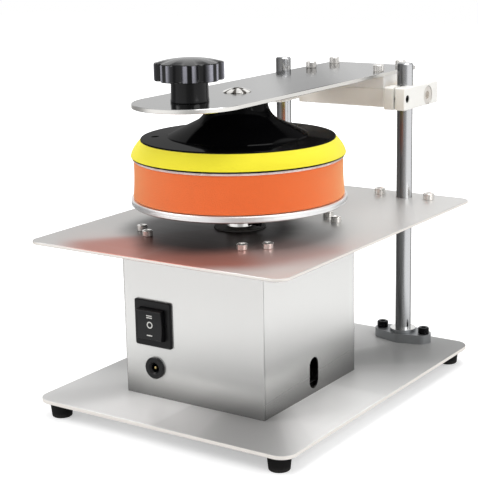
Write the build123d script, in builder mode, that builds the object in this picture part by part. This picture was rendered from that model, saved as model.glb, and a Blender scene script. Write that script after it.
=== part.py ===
"""Disc repair machine: a motor in a folded housing turns a platter under a hinged arm with a polishing pad.

Frame: +Z up, the switch side faces -Y, the origin is at the middle of the machine's footprint, on the
surface that it stands on. All sizes are in millimetres.
"""
from build123d import *
import os
from math import asin, cos, radians, sin, sqrt

os.makedirs("parts", exist_ok=True)

# ---------------------------------------------------------------------------------------------------
# Clearances and small common sizes
# ---------------------------------------------------------------------------------------------------
running_fit = 0.05          # radial, a shaft or pin that turns in its bore
body_gap = 0.3              # between pieces that move past each other
seat_gap = 0.2              # around a fixed piece in its cut-out
screw_gap = 0.25            # radial, a screw in its clearance hole
edge_break = 0.3            # broken edges of plates and blocks

# ---------------------------------------------------------------------------------------------------
# Layout
# ---------------------------------------------------------------------------------------------------
base_width = 210.0
base_depth = 268.0
base_thickness = 3.0
base_corner = 11.0

foot_height = 11.5
foot_top_diameter = 16.6
foot_bottom_diameter = 14.2
foot_lip = 1.0              # rounding of the tread
foot_inset_x = 13.5         # foot axis in from the base's side edges
foot_inset_y = 12.0         # foot axis in from the base's front and back edges

table_width = 207.0
table_depth = 270.0
table_thickness = 2.0
table_corner = 9.0
table_lip = 1.0             # how far the table stands ahead of the base

housing_width = 117.3
housing_depth = 122.9
housing_height = 112.5
housing_setback = 45.2      # housing front behind the base's front edge
sheet = 1.2
bend_radius = 2.0
seam = 0.4                  # open joint between the two housing panels
flange_width = 11.0
flange_relief = 1.5

rod_spacing = 108.8         # between the two rod axes
rod_diameter = 12.0
rod_top = 217.5             # rod top above the base's top face
rod_chamfer = 0.8
spindle_to_rod = 145.4      # spindle axis to the plane of the rod axes, along Y
rod_to_pivot = 21.0
pivot_to_arm_rear = 29.0

# levels
base_bottom = foot_height
base_top = base_bottom + base_thickness
table_bottom = base_top + housing_height
table_top = table_bottom + table_thickness

# places along Y; the footprint's middle is y = 0
front_to_spindle = table_lip + housing_setback + housing_depth / 2
spindle_to_rear = spindle_to_rod + rod_to_pivot + pivot_to_arm_rear
overall_depth = front_to_spindle + spindle_to_rear
table_front = -overall_depth / 2
base_front = table_front + table_lip
base_y = base_front + base_depth / 2
table_y = table_front + table_depth / 2
spindle_y = base_front + housing_setback + housing_depth / 2
housing_front = spindle_y - housing_depth / 2
rod_y = spindle_y + spindle_to_rod
pivot_y = rod_y + rod_to_pivot
arm_rear = pivot_y + pivot_to_arm_rear
rod_x = rod_spacing / 2

# ---------------------------------------------------------------------------------------------------
# Fasteners: thread diameter, head diameter, head height, socket across flats
# ---------------------------------------------------------------------------------------------------
table_screw = dict(thread=4.0, head=7.4, height=4.2, socket=3.0)
rod_screw = dict(thread=5.0, head=8.5, height=5.0, socket=4.0)
arm_screw = dict(thread=5.0, head=8.4, height=5.0, socket=4.0)
clamp_screw = dict(thread=3.0, head=5.5, height=3.0, socket=2.5)
nut_m4_flats = 7.0
nut_m4_height = 3.2
small_thread = 4.0          # countersunk screws of the base and the motor
small_countersink = 7.6
small_countersink_depth = 1.8
socket_depth_share = 0.6    # depth of a hex socket in its head
cross_width = 1.0
cross_depth = 1.0
cross_draft = 8.0           # degrees, on the walls of a cross recess
cut_over = 1.0              # how far outside a wall's face a cut through it starts
screw_inset = 6.0           # flange screws in from the housing's faces
screw_front_x = 39.5        # front and back flange screws either side of the middle
screw_side_inset = 17.0     # side flange screws in from the housing's front and back

# ---------------------------------------------------------------------------------------------------
# Rod supports
# ---------------------------------------------------------------------------------------------------
support_length = 47.0
support_width = 25.0
support_ear = 7.0           # thickness of the ears
support_height = 9.4        # over the round hub
support_hub_diameter = 20.0
support_screw_spacing = 36.0
support_end = 8.0           # radius at the tip of an ear
collar_length = 55.0
collar_screw_spacing = 42.0
grub_thread = 4.0
grub_socket = 2.0
grub_socket_depth = 2.0
grub_proud = 0.6

# ---------------------------------------------------------------------------------------------------
# Switch and DC inlet
# ---------------------------------------------------------------------------------------------------
control_x = -31.8
switch_z = 54.2             # above the base's top face
switch_width = 31.2
switch_height = 33.2
switch_rim = 2.0
switch_corner = 1.6
switch_body_width = 27.0
switch_body_height = 29.0
switch_body_depth = 22.0
rocker_width = 20.6
rocker_radius = 11.3
rocker_proud = 4.2
rocker_axis_depth = 0.8     # rocker axis behind the rim's face
rocker_back = 5.2
rocker_bow = 1.1            # hollow of the rocker's face
rocker_edge = 0.6
rocker_tilt = 11.0          # degrees to each side of the middle position
trunnion_diameter = 2.4
trunnion_length = 1.6
terminal_width = 4.8
terminal_thickness = 0.8
terminal_length = 8.0
switch_terminal_rows = 3
switch_terminal_pitch_z = 8.0
switch_terminal_pitch_x = 9.0

jack_z = 21.8
jack_flange_diameter = 15.6
jack_flange = 2.2
jack_flange_edge = 0.6
jack_barrel_diameter = 10.8
jack_barrel_length = 10.0
jack_bore = 6.4
jack_mouth = 9.0
jack_mouth_depth = 1.4
jack_bore_depth = 9.0
jack_pin_diameter = 2.1
jack_pin_length = 7.5
jack_pin_round = 0.5
jack_nut_flats = 14.0
jack_nut_height = 3.0
jack_terminal_width = 3.0
jack_terminal_length = 5.0
jack_terminal_pitch = 7.0
lead_diameter = 1.6
lead_bend = 4.8
lead_rise = 7.5             # lowest run of the motor leads above the base's top face
lead_straight = 0.7         # straight stretch of a motor lead before its first bend

slot_width = 11.6
slot_height = 22.8
slot_z = 15.0
slot_from_front = 64.0      # slot centre behind the housing's front face

# ---------------------------------------------------------------------------------------------------
# Motor
# ---------------------------------------------------------------------------------------------------
plate_thickness = 3.0
plate_inset = 11.45         # the motor plate's front and back edges in from the housing's faces
plate_side_gap = 0.5
boss_diameter = 36.6
boss_proud = 0.8            # boss above the table
can_diameter = 62.0
can_wall = 2.2
can_length = 62.0
bell_thickness = 9.0
cap_thickness = 9.0
motor_screw_circle = 48.0
shaft_diameter = 8.0
shaft_tail = 3.0            # shaft past the lower bearing
bearing_diameter = 22.0
bearing_width = 7.0
bearing_edge = 0.4
boss_bore = 12.0
magnet_thickness = 4.6
magnet_length = 44.0
magnet_angle = 130.0
core_diameter = 46.0
core_length = 32.0
core_slots = 12
rotor_lift = 4.0            # core's middle above the can's middle
core_slot_width = 2.4
core_slot_depth = 8.0
winding_diameter = 38.0
winding_height = 7.0
winding_edge = 3.0
commutator_diameter = 18.0
commutator_length = 8.0
brush_width = 5.0
brush_height = 4.0
motor_terminal_x = 19.0
motor_terminal_length = 7.0

# ---------------------------------------------------------------------------------------------------
# Platter
# ---------------------------------------------------------------------------------------------------
platter_diameter = 151.6
platter_thickness = 4.6
platter_edge = 0.7
rim_groove = 0.5
rim_groove_depth = 0.4
platter_lift = 19.1         # platter underside above the table
hub_diameter = 20.0
hub_lift = 1.2              # hub's lower face above the table
hub_edge = 1.0
hub_flange_diameter = 40.0
hub_flange = 4.0
hub_screw_circle = 30.0
hub_screw_thread = 3.0
hub_screw_countersink = 6.0
hub_screw_countersink_depth = 1.5
hub_screw_length = 8.0
hub_cross_width = 0.8
hub_grub_thread = 4.0
hub_grub_proud = 7.5
hub_grub_z = 2.8            # above the hub's lower face
disc_boss_diameter = 14.8
disc_boss_height = 1.2

# ---------------------------------------------------------------------------------------------------
# Pad
# ---------------------------------------------------------------------------------------------------
sponge_bottom_diameter = 148.6
sponge_top_diameter = 146.9
sponge_height = 26.2
sponge_round_bottom = 2.6
sponge_round_top = 1.6
sponge_draw = 0.5           # how far the side pulls in at mid height
sponge_well_diameter = 26.0
sponge_well_depth = 3.0
loop_diameter = 147.0
loop_thickness = 1.6
hook_diameter = 149.2
hook_thickness = 1.3
rim_bottom_diameter = 150.4
rim_top_diameter = 136.6
rim_height = 10.6
rim_bulge = 1.2             # how far the rim's side swells past a straight taper
cone_flange_diameter = 136.0
cone_flange = 1.1           # thickness of the flange at its edge
cone_flange_floor = 0.6     # under the hole in the flange
cone_foot_diameter = 98.0   # where the flange ends and the cone begins
cone_foot_rise = 0.8        # rise of the flange from its edge to the cone's foot
cone_step = 0.6             # small ring step at the cone's foot
cone_waist_diameter = 59.0
cone_waist_z = 11.8         # above the flange's underside
cone_neck_diameter = 42.6
cone_neck_z = 22.7
cone_neck_draft = 0.5
cone_curve_share = 0.38     # how close the waist's curve runs to its corner
cone_well_depth = 11.0
flange_hole_circle = 115.6
flange_hole_bearing = 214.0
flange_hole_diameter = 5.6
bolt_past_nut = 1.5
cone_top_gap = 0.5          # below the arm
cone_well_diameter = 26.0
pad_bolt_diameter = 8.0
pad_bolt_head = 19.6
pad_bolt_dome = 2.4
pad_bolt_rim = 0.5
pad_cross_width = 2.4
pad_cross_length = 11.0
pad_cross_depth = 1.9
pad_nut_flats = 13.0
pad_nut_height = 6.0
pad_washer_diameter = 16.0
pad_washer = 1.6

# ---------------------------------------------------------------------------------------------------
# Arm, hinge block and clamps
# ---------------------------------------------------------------------------------------------------
arm_width = 77.4
arm_thickness = 3.0
arm_rear_corner = 3.0
spindle_to_grip = 55.0      # spindle axis to the grip's axis
arm_spacer_height = 9.3
block_width = 76.6
block_depth = 49.0
block_height = 14.5
block_edge = 0.8
arm_screw_spacing_x = 60.2
arm_screw_spacing_y = 36.2
arm_screw_length = 20.0
pivot_drop = 15.7           # pivot axis below the arm's underside
pivot_pin_diameter = 8.0
pivot_pin_reach = 19.0      # into the block
pivot_head_diameter = 13.6
pivot_head_height = 4.6
pivot_head_recess = 0.6
pivot_head_gap = 0.5
pivot_socket = 6.0
pivot_bush_diameter = 14.0

clamp_width = 18.0
clamp_ahead = 17.5          # clamp front ahead of the rod axis
clamp_behind = 38.0
clamp_height = 17.0
clamp_below_arm = 6.2       # clamp top below the arm's underside
clamp_slit = 2.0
clamp_screw_ahead = 13.0    # clamp screw axis ahead of the rod axis
clamp_edge = 0.8
clamp_screw_recess = 3.6
clamp_screw_end = 3.0       # solid left beyond the clamp screw's tip

grip_diameter = 46.5
grip_flutes = 8
grip_flute_radius = 5.0
grip_flute_depth = 3.2
grip_flute_lip = 1.6        # rounding where a flute meets the rim
grip_turn = 15.0            # first flute from +X, in degrees
grip_boss_diameter = 24.8
grip_boss_flare = 0.5       # growth of the collar's radius down to the arm
grip_boss_height = 14.2
grip_body_height = 12.0
grip_dome_height = 2.8
grip_edge = 1.2
grip_thread = 6.0
grip_countersink = 11.0
grip_countersink_depth = 2.6
grip_screw_length = 16.0
grip_cross_width = 1.7

# derived levels above the table
platter_bottom = table_top + platter_lift
platter_top = platter_bottom + platter_thickness
sponge_bottom = platter_top + body_gap
sponge_top = sponge_bottom + sponge_height
loop_top = sponge_top + loop_thickness
hook_top = loop_top + hook_thickness
rim_top = hook_top + rim_height
cone_height = 28.7          # flange underside to the arm's underside
arm_bottom = rim_top + cone_height
arm_top = arm_bottom + arm_thickness
block_top = arm_bottom - arm_spacer_height
block_bottom = block_top - block_height
pivot_z = arm_bottom - pivot_drop
clamp_top = arm_bottom - clamp_below_arm
clamp_bottom = clamp_top - clamp_height
clamp_inner = rod_x - clamp_width / 2
clamp_outer = rod_x + clamp_width / 2
grip_y = spindle_y - spindle_to_grip
hub_bottom = table_top + hub_lift
plate_top = table_bottom - sheet
bell_top = plate_top - plate_thickness
bell_bottom = bell_top - bell_thickness
can_bottom = bell_bottom - can_length
cap_bottom = can_bottom - cap_thickness
shaft_bottom = cap_bottom + cap_thickness - bearing_width - shaft_tail

spindle = (0.0, spindle_y)
flange_screw_sites = [
    (sx * x, spindle_y + sy * y)
    for sx in (-1, 1)
    for sy in (-1, 1)
    for x, y in (
        (screw_front_x, housing_depth / 2 - screw_inset),
        (housing_width / 2 - screw_inset, housing_depth / 2 - screw_side_inset),
    )
]
side_screw_sites = [site for site in flange_screw_sites if abs(site[0]) > screw_front_x]
end_screw_sites = [site for site in flange_screw_sites if abs(site[0]) <= screw_front_x]


# ---------------------------------------------------------------------------------------------------
# Shapes that repeat
# ---------------------------------------------------------------------------------------------------
def circle_sites(diameter, count=4):
    """Places on a circle about the spindle axis, the first half a step off the X axis."""
    angles = [radians(360 / count * (index + 0.5)) for index in range(count)]
    return [(diameter / 2 * cos(angle), spindle_y + diameter / 2 * sin(angle)) for angle in angles]


def level(x, y, z):
    """A horizontal plane with its origin at a point."""
    return Plane((x, y, z))


def finish(builder, name):
    """Label a finished piece and write its file."""
    builder.part.label = name
    export_step(builder.part, f"parts/{name}.step")


def disc(plane, diameter, amount, mode=Mode.ADD):
    """A round pin, boss or hole from a plane, in the part that is being built."""
    with BuildSketch(plane) as face:
        Circle(diameter / 2)
    extrude(face.sketch, amount=amount, mode=mode)


def hexagon(plane, flats, amount, mode=Mode.ADD):
    """A hexagonal prism or socket, measured across its flats."""
    with BuildSketch(plane) as face:
        RegularPolygon(flats / 2, 6, major_radius=False)
    extrude(face.sketch, amount=amount, mode=mode)


def cap_screw(seat, screw, length):
    """A cap screw with a hex socket: the plane lies under its head and faces up from the joint."""
    disc(seat, screw["head"], screw["height"])
    disc(seat, screw["thread"], -length)
    depth = screw["height"] * socket_depth_share
    hexagon(seat.offset(screw["height"]), screw["socket"], -depth, Mode.SUBTRACT)


def countersink(face, thread, head, depth, length, mode=Mode.ADD):
    """A countersunk screw, or its hole, whose head is flush with a plane."""
    with BuildSketch(Plane(face.origin, x_dir=face.x_dir, z_dir=-face.y_dir)) as half:
        with BuildLine():
            Polyline(
                (0, 0), (head / 2, 0), (thread / 2, -depth), (thread / 2, -length), (0, -length), close=True
            )
        make_face()
    revolve(half.sketch, axis=Axis(face.origin, face.z_dir), mode=mode)


def cross_slot(face, length, width, depth):
    """A cross recess in a screw's head."""
    with BuildSketch(face) as cross:
        Rectangle(length, width)
        Rectangle(width, length)
    extrude(cross.sketch, amount=-depth, taper=cross_draft, mode=Mode.SUBTRACT)


def turned(points_and_arcs):
    """Revolve a closed half profile, drawn as (radius, height), about the spindle axis."""
    with BuildSketch(Plane((0, spindle_y, 0), x_dir=(1, 0, 0), z_dir=(0, -1, 0))) as half:
        with BuildLine():
            points_and_arcs()
        make_face()
    revolve(half.sketch, axis=Axis((0, spindle_y, 0), (0, 0, 1)))


def half_dome(radius, height, rise):
    """An arc of a half profile, from a rim in to the axis, rising by a given amount."""
    ball = (radius**2 + rise**2) / (2 * rise)
    middle = rise - (ball - sqrt(ball**2 - radius**2 / 4))
    ThreePointArc((radius, height), (radius / 2, height + middle), (0, height + rise))


def plate(plane, width, depth, corner, thickness):
    """A flat plate with round corners and broken edges."""
    with BuildSketch(plane) as outline:
        RectangleRounded(width, depth, corner)
    solid = extrude(outline.sketch, amount=thickness)
    chamfer(solid.faces().filter_by(Axis.Z).edges(), edge_break)


# ---------------------------------------------------------------------------------------------------
# Base
# ---------------------------------------------------------------------------------------------------
with BuildPart() as base_plate:
    plate(level(0, base_y, base_bottom), base_width, base_depth, base_corner, base_thickness)
    for x, y in flange_screw_sites:
        face = Plane((x, y, base_bottom), z_dir=(0, 0, -1))
        countersink(
            face, small_thread + 2 * screw_gap, small_countersink, small_countersink_depth, base_thickness,
            Mode.SUBTRACT,
        )
    for side in (-1, 1):
        for ear in (-1, 1):
            site = level(side * rod_x + ear * support_screw_spacing / 2, rod_y, base_bottom)
            disc(site, rod_screw["thread"], base_thickness, Mode.SUBTRACT)
finish(base_plate, "base_plate")

with BuildPart() as rubber_feet:
    for sx in (-1, 1):
        for sy in (-1, 1):
            x = sx * (base_width / 2 - foot_inset_x)
            y = base_y + sy * (base_depth / 2 - foot_inset_y)
            with BuildSketch(level(x, y, 0)) as tread:
                Circle(foot_bottom_diameter / 2)
            with BuildSketch(level(x, y, foot_height)) as top:
                Circle(foot_top_diameter / 2)
            loft([tread.sketch.face(), top.sketch.face()])
    fillet(rubber_feet.edges().group_by(Axis.Z)[0], foot_lip)
finish(rubber_feet, "rubber_feet")


# ---------------------------------------------------------------------------------------------------
# Housing: two bent panels with flanges turned inwards at the top and the bottom
# ---------------------------------------------------------------------------------------------------
def bent_panel(turn):
    """Two walls with one bend between them; turn is 1 for front and left, -1 for back and right."""
    half_w = housing_width / 2
    half_d = housing_depth / 2
    corner = Plane((0, spindle_y, base_top), x_dir=(turn, 0, 0), z_dir=(0, 0, 1))
    with BuildSketch(corner) as walls:
        with BuildLine():
            Polyline(
                (-half_w, -half_d), (half_w, -half_d), (half_w, -half_d + sheet),
                (-half_w + sheet, -half_d + sheet), (-half_w + sheet, half_d - sheet - seam),
                (-half_w, half_d - sheet - seam), close=True,
            )
        make_face()
        fillet(walls.vertices().sort_by_distance((-half_w, -half_d))[0], bend_radius)
        inner_bend = (-half_w + sheet, -half_d + sheet)
        fillet(walls.vertices().sort_by_distance(inner_bend)[0], bend_radius - sheet)
    extrude(walls.sketch, amount=housing_height)
    end_length = housing_width - 2 * (sheet + seam + flange_relief)
    side_length = housing_depth - 2 * (flange_width + flange_relief)
    for height in (0, housing_height - sheet):
        with BuildSketch(corner.offset(height)) as flanges:
            with Locations((0, -half_d + flange_width / 2)):
                Rectangle(end_length, flange_width)
            with Locations((-half_w + flange_width / 2, 0)):
                Rectangle(flange_width, side_length)
        extrude(flanges.sketch, amount=sheet)
    for x, y in flange_screw_sites:
        disc(level(x, y, base_top), table_screw["thread"] + 2 * screw_gap, housing_height, Mode.SUBTRACT)


with BuildPart() as housing_front_left:
    bent_panel(1)
    face = Plane((control_x, housing_front - cut_over, base_top), x_dir=(1, 0, 0), z_dir=(0, -1, 0))
    with BuildSketch(face) as cutouts:
        with Locations((0, switch_z)):
            Rectangle(switch_body_width + 2 * seat_gap, switch_body_height + 2 * seat_gap)
        with Locations((0, jack_z)):
            Circle(jack_barrel_diameter / 2 + seat_gap)
    extrude(cutouts.sketch, amount=-(cut_over + bend_radius), mode=Mode.SUBTRACT)
finish(housing_front_left, "housing_front_left")

with BuildPart() as housing_right_back:
    bent_panel(-1)
    side_face = Plane((housing_width / 2, housing_front, base_top), x_dir=(0, 1, 0), z_dir=(1, 0, 0))
    with BuildSketch(side_face.offset(cut_over)) as openings:
        with Locations((slot_from_front, slot_z)):
            SlotOverall(slot_height, slot_width, rotation=90)
    extrude(openings.sketch, amount=-(cut_over + bend_radius), mode=Mode.SUBTRACT)
finish(housing_right_back, "housing_right_back")

with BuildPart() as housing_base_screws:
    for x, y in flange_screw_sites:
        head_face = Plane((x, y, base_bottom), z_dir=(0, 0, -1))
        countersink(
            head_face, small_thread, small_countersink - 2 * seat_gap, small_countersink_depth,
            base_thickness + sheet + nut_m4_height,
        )
        cross_slot(head_face, small_countersink / 2, cross_width, cross_depth)
finish(housing_base_screws, "housing_base_screws")


def nut(plane, flats, height, thread):
    """A hex nut that seats on a plane, bored to its screw."""
    with BuildSketch(plane) as ring:
        RegularPolygon(flats / 2, 6, major_radius=False)
        Circle(thread / 2, mode=Mode.SUBTRACT)
    extrude(ring.sketch, amount=height)


# ---------------------------------------------------------------------------------------------------
# Table
# ---------------------------------------------------------------------------------------------------
with BuildPart() as table_plate:
    plate(level(0, table_y, table_bottom), table_width, table_depth, table_corner, table_thickness)
    with BuildSketch(level(0, 0, table_bottom)) as table_holes:
        with Locations(spindle):
            Circle(boss_diameter / 2 + body_gap)
        with Locations(*flange_screw_sites):
            Circle(table_screw["thread"] / 2 + screw_gap)
        for side in (-1, 1):
            with Locations((side * rod_x, rod_y)):
                Circle(rod_diameter / 2 + screw_gap)
            with Locations(*[(side * rod_x + ear * collar_screw_spacing / 2, rod_y) for ear in (-1, 1)]):
                Circle(rod_screw["thread"] / 2 + screw_gap)
    extrude(table_holes.sketch, amount=table_thickness, mode=Mode.SUBTRACT)
finish(table_plate, "table_plate")

with BuildPart() as table_screws:
    for x, y in end_screw_sites:
        cap_screw(level(x, y, table_top), table_screw, table_thickness + sheet + nut_m4_height)
    for x, y in side_screw_sites:
        reach = table_thickness + sheet + plate_thickness + nut_m4_height
        cap_screw(level(x, y, table_top), table_screw, reach)
finish(table_screws, "table_screws")

with BuildPart() as flange_nuts:
    for x, y in flange_screw_sites:
        nut(level(x, y, base_top + sheet), nut_m4_flats, nut_m4_height, small_thread)
    for x, y in end_screw_sites:
        nut(level(x, y, plate_top - nut_m4_height), nut_m4_flats, nut_m4_height, table_screw["thread"])
    for x, y in side_screw_sites:
        nut(level(x, y, bell_top - nut_m4_height), nut_m4_flats, nut_m4_height, table_screw["thread"])
finish(flange_nuts, "flange_nuts")


# ---------------------------------------------------------------------------------------------------
# Guide rods and their supports
# ---------------------------------------------------------------------------------------------------
def guide_rod(x):
    """A ground rod that stands on the base plate."""
    disc(level(x, rod_y, base_top), rod_diameter, rod_top)


def rod_support(x, foot_z, length, screw_spacing, up):
    """A flange with two ears and a round hub, bored for a rod; up is 1 on the base, -1 under the table."""
    seat = Plane((x, rod_y, foot_z), z_dir=(0, 0, up))
    tip = length / 2 - support_end
    with BuildSketch(seat) as ears:
        with Locations((-tip, 0), (tip, 0)):
            Circle(support_end)
        Circle(support_width / 2)
        make_hull()
    extrude(ears.sketch, amount=support_ear)
    disc(seat, support_hub_diameter, support_height)
    disc(seat, rod_diameter, support_height, Mode.SUBTRACT)
    for ear in (-1, 1):
        hole = Plane((x + ear * screw_spacing / 2, rod_y, foot_z), z_dir=(0, 0, up))
        disc(hole, rod_screw["thread"], support_height, Mode.SUBTRACT)
        disc(hole.offset(support_ear), rod_screw["head"] + 2 * screw_gap, support_height, Mode.SUBTRACT)
    grub = Plane((x, rod_y, foot_z + up * support_ear / 2), x_dir=(1, 0, 0), z_dir=(0, 1, 0))
    disc(grub, grub_thread, support_width, Mode.SUBTRACT)


def grub_screw(plane, thread, length, socket, socket_depth):
    """A headless screw whose outer end lies on a plane."""
    disc(plane, thread, -length)
    hexagon(plane, socket, -socket_depth, Mode.SUBTRACT)


sides = {"left": -1, "right": 1}
for side_name, side in sides.items():
    with BuildPart() as guide_rod_part:
        guide_rod(side * rod_x)
        chamfer(guide_rod_part.edges().filter_by(GeomType.CIRCLE).group_by(Axis.Z)[-1], rod_chamfer)
    finish(guide_rod_part, f"guide_rod_{side_name}")
    with BuildPart() as rod_foot:
        rod_support(side * rod_x, base_top, support_length, support_screw_spacing, 1)
    finish(rod_foot, f"rod_foot_{side_name}")
    with BuildPart() as rod_collar:
        rod_support(side * rod_x, table_bottom, collar_length, collar_screw_spacing, -1)
    finish(rod_collar, f"rod_collar_{side_name}")

with BuildPart() as rod_support_screws:
    for side in sides.values():
        for ear in (-1, 1):
            foot_seat = level(side * rod_x + ear * support_screw_spacing / 2, rod_y, base_top + support_ear)
            cap_screw(foot_seat, rod_screw, support_ear + base_thickness)
            collar_seat = level(side * rod_x + ear * collar_screw_spacing / 2, rod_y, table_top)
            cap_screw(collar_seat, rod_screw, table_thickness + support_ear)
finish(rod_support_screws, "rod_support_screws")

with BuildPart() as rod_grub_screws:
    for side in sides.values():
        for foot_z, up in ((base_top, 1), (table_bottom, -1)):
            mouth = Plane(
                (side * rod_x, rod_y + support_width / 2 + grub_proud, foot_z + up * support_ear / 2),
                x_dir=(1, 0, 0), z_dir=(0, 1, 0),
            )
            reach = (support_width - rod_diameter) / 2 + grub_proud
            grub_screw(mouth, grub_thread, reach, grub_socket, grub_socket_depth)
finish(rod_grub_screws, "rod_grub_screws")

# ---------------------------------------------------------------------------------------------------
# Rocker switch
# ---------------------------------------------------------------------------------------------------
switch_centre_z = base_top + switch_z
rim_face_y = housing_front - switch_rim
rocker_axis_y = rim_face_y + rocker_axis_depth
rocker_back_angle = asin(rocker_back / rocker_radius) + radians(rocker_tilt)
well_depth = rocker_axis_depth + rocker_radius * sin(rocker_back_angle) + body_gap
switch_back_y = housing_front + switch_body_depth


def switch_plane(y):
    """A plane on the switch's axis, facing the front."""
    return Plane((control_x, y, switch_centre_z), x_dir=(1, 0, 0), z_dir=(0, -1, 0))


rocker_section = Plane((control_x, rocker_axis_y, switch_centre_z), x_dir=(0, 1, 0), z_dir=(1, 0, 0))

with BuildPart() as switch_frame:
    with BuildSketch(switch_plane(housing_front)) as rim:
        RectangleRounded(switch_width, switch_height, switch_corner)
    rim_solid = extrude(rim.sketch, amount=switch_rim)
    chamfer(rim_solid.faces().sort_by(Axis.Y)[0].edges(), rocker_edge)
    with BuildSketch(switch_plane(housing_front)) as shell:
        Rectangle(switch_body_width, switch_body_height)
    extrude(shell.sketch, amount=-switch_body_depth)
    with BuildSketch(switch_plane(rim_face_y)) as well:
        Rectangle(rocker_width + 2 * body_gap, 2 * (rocker_radius + body_gap))
    extrude(well.sketch, amount=-well_depth, mode=Mode.SUBTRACT)
    with BuildSketch(rocker_section) as axle:
        Circle(trunnion_diameter / 2 + running_fit)
    trunnion_span = rocker_width / 2 + trunnion_length + body_gap
    extrude(axle.sketch, amount=trunnion_span, both=True, mode=Mode.SUBTRACT)
finish(switch_frame, "switch_frame")

with BuildPart() as rocker:
    front = -(rocker_axis_depth + rocker_proud)
    chord = sqrt(rocker_radius**2 - front**2)
    back_chord = sqrt(rocker_radius**2 - rocker_back**2)
    with BuildSketch(rocker_section) as rocker_side:
        with BuildLine():
            ThreePointArc((front, -chord), (front + rocker_bow, 0), (front, chord))
            ThreePointArc((front, chord), (0, rocker_radius), (rocker_back, back_chord))
            Line((rocker_back, back_chord), (rocker_back, -back_chord))
            ThreePointArc((rocker_back, -back_chord), (0, -rocker_radius), (front, -chord))
        make_face()
    extrude(rocker_side.sketch, amount=rocker_width / 2, both=True)
    fillet(rocker.edges().group_by(Axis.Y)[0], rocker_edge)
    with BuildSketch(rocker_section) as trunnion:
        Circle(trunnion_diameter / 2)
    extrude(trunnion.sketch, amount=rocker_width / 2 + trunnion_length, both=True)
finish(rocker, "rocker")

with BuildPart() as switch_terminals:
    for row in range(switch_terminal_rows):
        row_z = switch_centre_z + (row - (switch_terminal_rows - 1) / 2) * switch_terminal_pitch_z
        for column in (-1, 1):
            column_x = control_x + column * switch_terminal_pitch_x / 2
            blade_root = Plane((column_x, switch_back_y, row_z), x_dir=(1, 0, 0), z_dir=(0, 1, 0))
            with BuildSketch(blade_root) as blade:
                Rectangle(terminal_width, terminal_thickness)
            extrude(blade.sketch, amount=terminal_length)
finish(switch_terminals, "switch_terminals")

# ---------------------------------------------------------------------------------------------------
# DC inlet
# ---------------------------------------------------------------------------------------------------
jack_centre_z = base_top + jack_z
jack_face_y = housing_front - jack_flange
jack_end_y = housing_front + jack_barrel_length


def jack_plane(y, front=True):
    """A plane on the inlet's axis, facing the front or the back."""
    return Plane((control_x, y, jack_centre_z), x_dir=(1, 0, 0), z_dir=(0, -1 if front else 1, 0))


with BuildPart() as jack_body:
    disc(jack_plane(housing_front), jack_flange_diameter, jack_flange)
    fillet(jack_body.edges().group_by(Axis.Y)[0], jack_flange_edge)
    disc(jack_plane(housing_front), jack_barrel_diameter, -jack_barrel_length)
    disc(jack_plane(jack_face_y), jack_bore, -jack_bore_depth, Mode.SUBTRACT)
    with BuildSketch(jack_plane(jack_face_y)) as mouth:
        Circle(jack_mouth / 2)
    with BuildSketch(jack_plane(jack_face_y + jack_mouth_depth)) as throat:
        Circle(jack_bore / 2)
    loft([mouth.sketch.face(), throat.sketch.face()], mode=Mode.SUBTRACT)
finish(jack_body, "jack_body")

with BuildPart() as jack_contacts:
    pin_root = jack_face_y + jack_bore_depth
    disc(jack_plane(pin_root), jack_pin_diameter, jack_pin_length)
    fillet(jack_contacts.edges().group_by(Axis.Y)[0], jack_pin_round)
    for column in (-1, 1):
        terminal_x = control_x + column * jack_terminal_pitch / 2
        blade_root = Plane((terminal_x, jack_end_y, jack_centre_z), x_dir=(1, 0, 0), z_dir=(0, 1, 0))
        with BuildSketch(blade_root) as blade:
            Rectangle(jack_terminal_width, terminal_thickness)
        extrude(blade.sketch, amount=jack_terminal_length)
finish(jack_contacts, "jack_contacts")

with BuildPart() as jack_nut:
    nut(
        jack_plane(housing_front + sheet, front=False), jack_nut_flats, jack_nut_height, jack_barrel_diameter
    )
finish(jack_nut, "jack_nut")

# ---------------------------------------------------------------------------------------------------
# Motor
# ---------------------------------------------------------------------------------------------------
motor_screw_sites = circle_sites(motor_screw_circle)

with BuildPart() as motor_plate:
    plate_width = housing_width - 2 * (sheet + plate_side_gap)
    with BuildSketch(level(0, spindle_y, bell_top)) as plate_outline:
        Rectangle(plate_width, housing_depth - 2 * plate_inset)
        Circle(boss_diameter / 2 + body_gap, mode=Mode.SUBTRACT)
    extrude(plate_outline.sketch, amount=plate_thickness)
    for x, y in side_screw_sites:
        disc(level(x, y, bell_top), table_screw["thread"] + 2 * screw_gap, plate_thickness, Mode.SUBTRACT)
    for x, y in motor_screw_sites:
        countersink(
            level(x, y, plate_top), small_thread + 2 * screw_gap, small_countersink, small_countersink_depth,
            plate_thickness, Mode.SUBTRACT,
        )
finish(motor_plate, "motor_plate")

with BuildPart() as motor_bell:
    disc(level(*spindle, bell_bottom), can_diameter, bell_thickness)
    disc(level(*spindle, bell_top), boss_diameter, table_top + boss_proud - bell_top)
    disc(level(*spindle, bell_bottom), bearing_diameter, bearing_width, Mode.SUBTRACT)
    disc(level(*spindle, bell_bottom), boss_bore, table_top + boss_proud - bell_bottom, Mode.SUBTRACT)
    for x, y in motor_screw_sites:
        disc(level(x, y, bell_bottom), small_thread, bell_thickness, Mode.SUBTRACT)
finish(motor_bell, "motor_bell")

with BuildPart() as motor_screws:
    for x, y in motor_screw_sites:
        head_face = level(x, y, plate_top)
        countersink(
            head_face, small_thread, small_countersink - 2 * seat_gap, small_countersink_depth,
            plate_thickness + bell_thickness,
        )
        cross_slot(head_face, small_countersink / 2, cross_width, cross_depth)
finish(motor_screws, "motor_screws")

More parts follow.
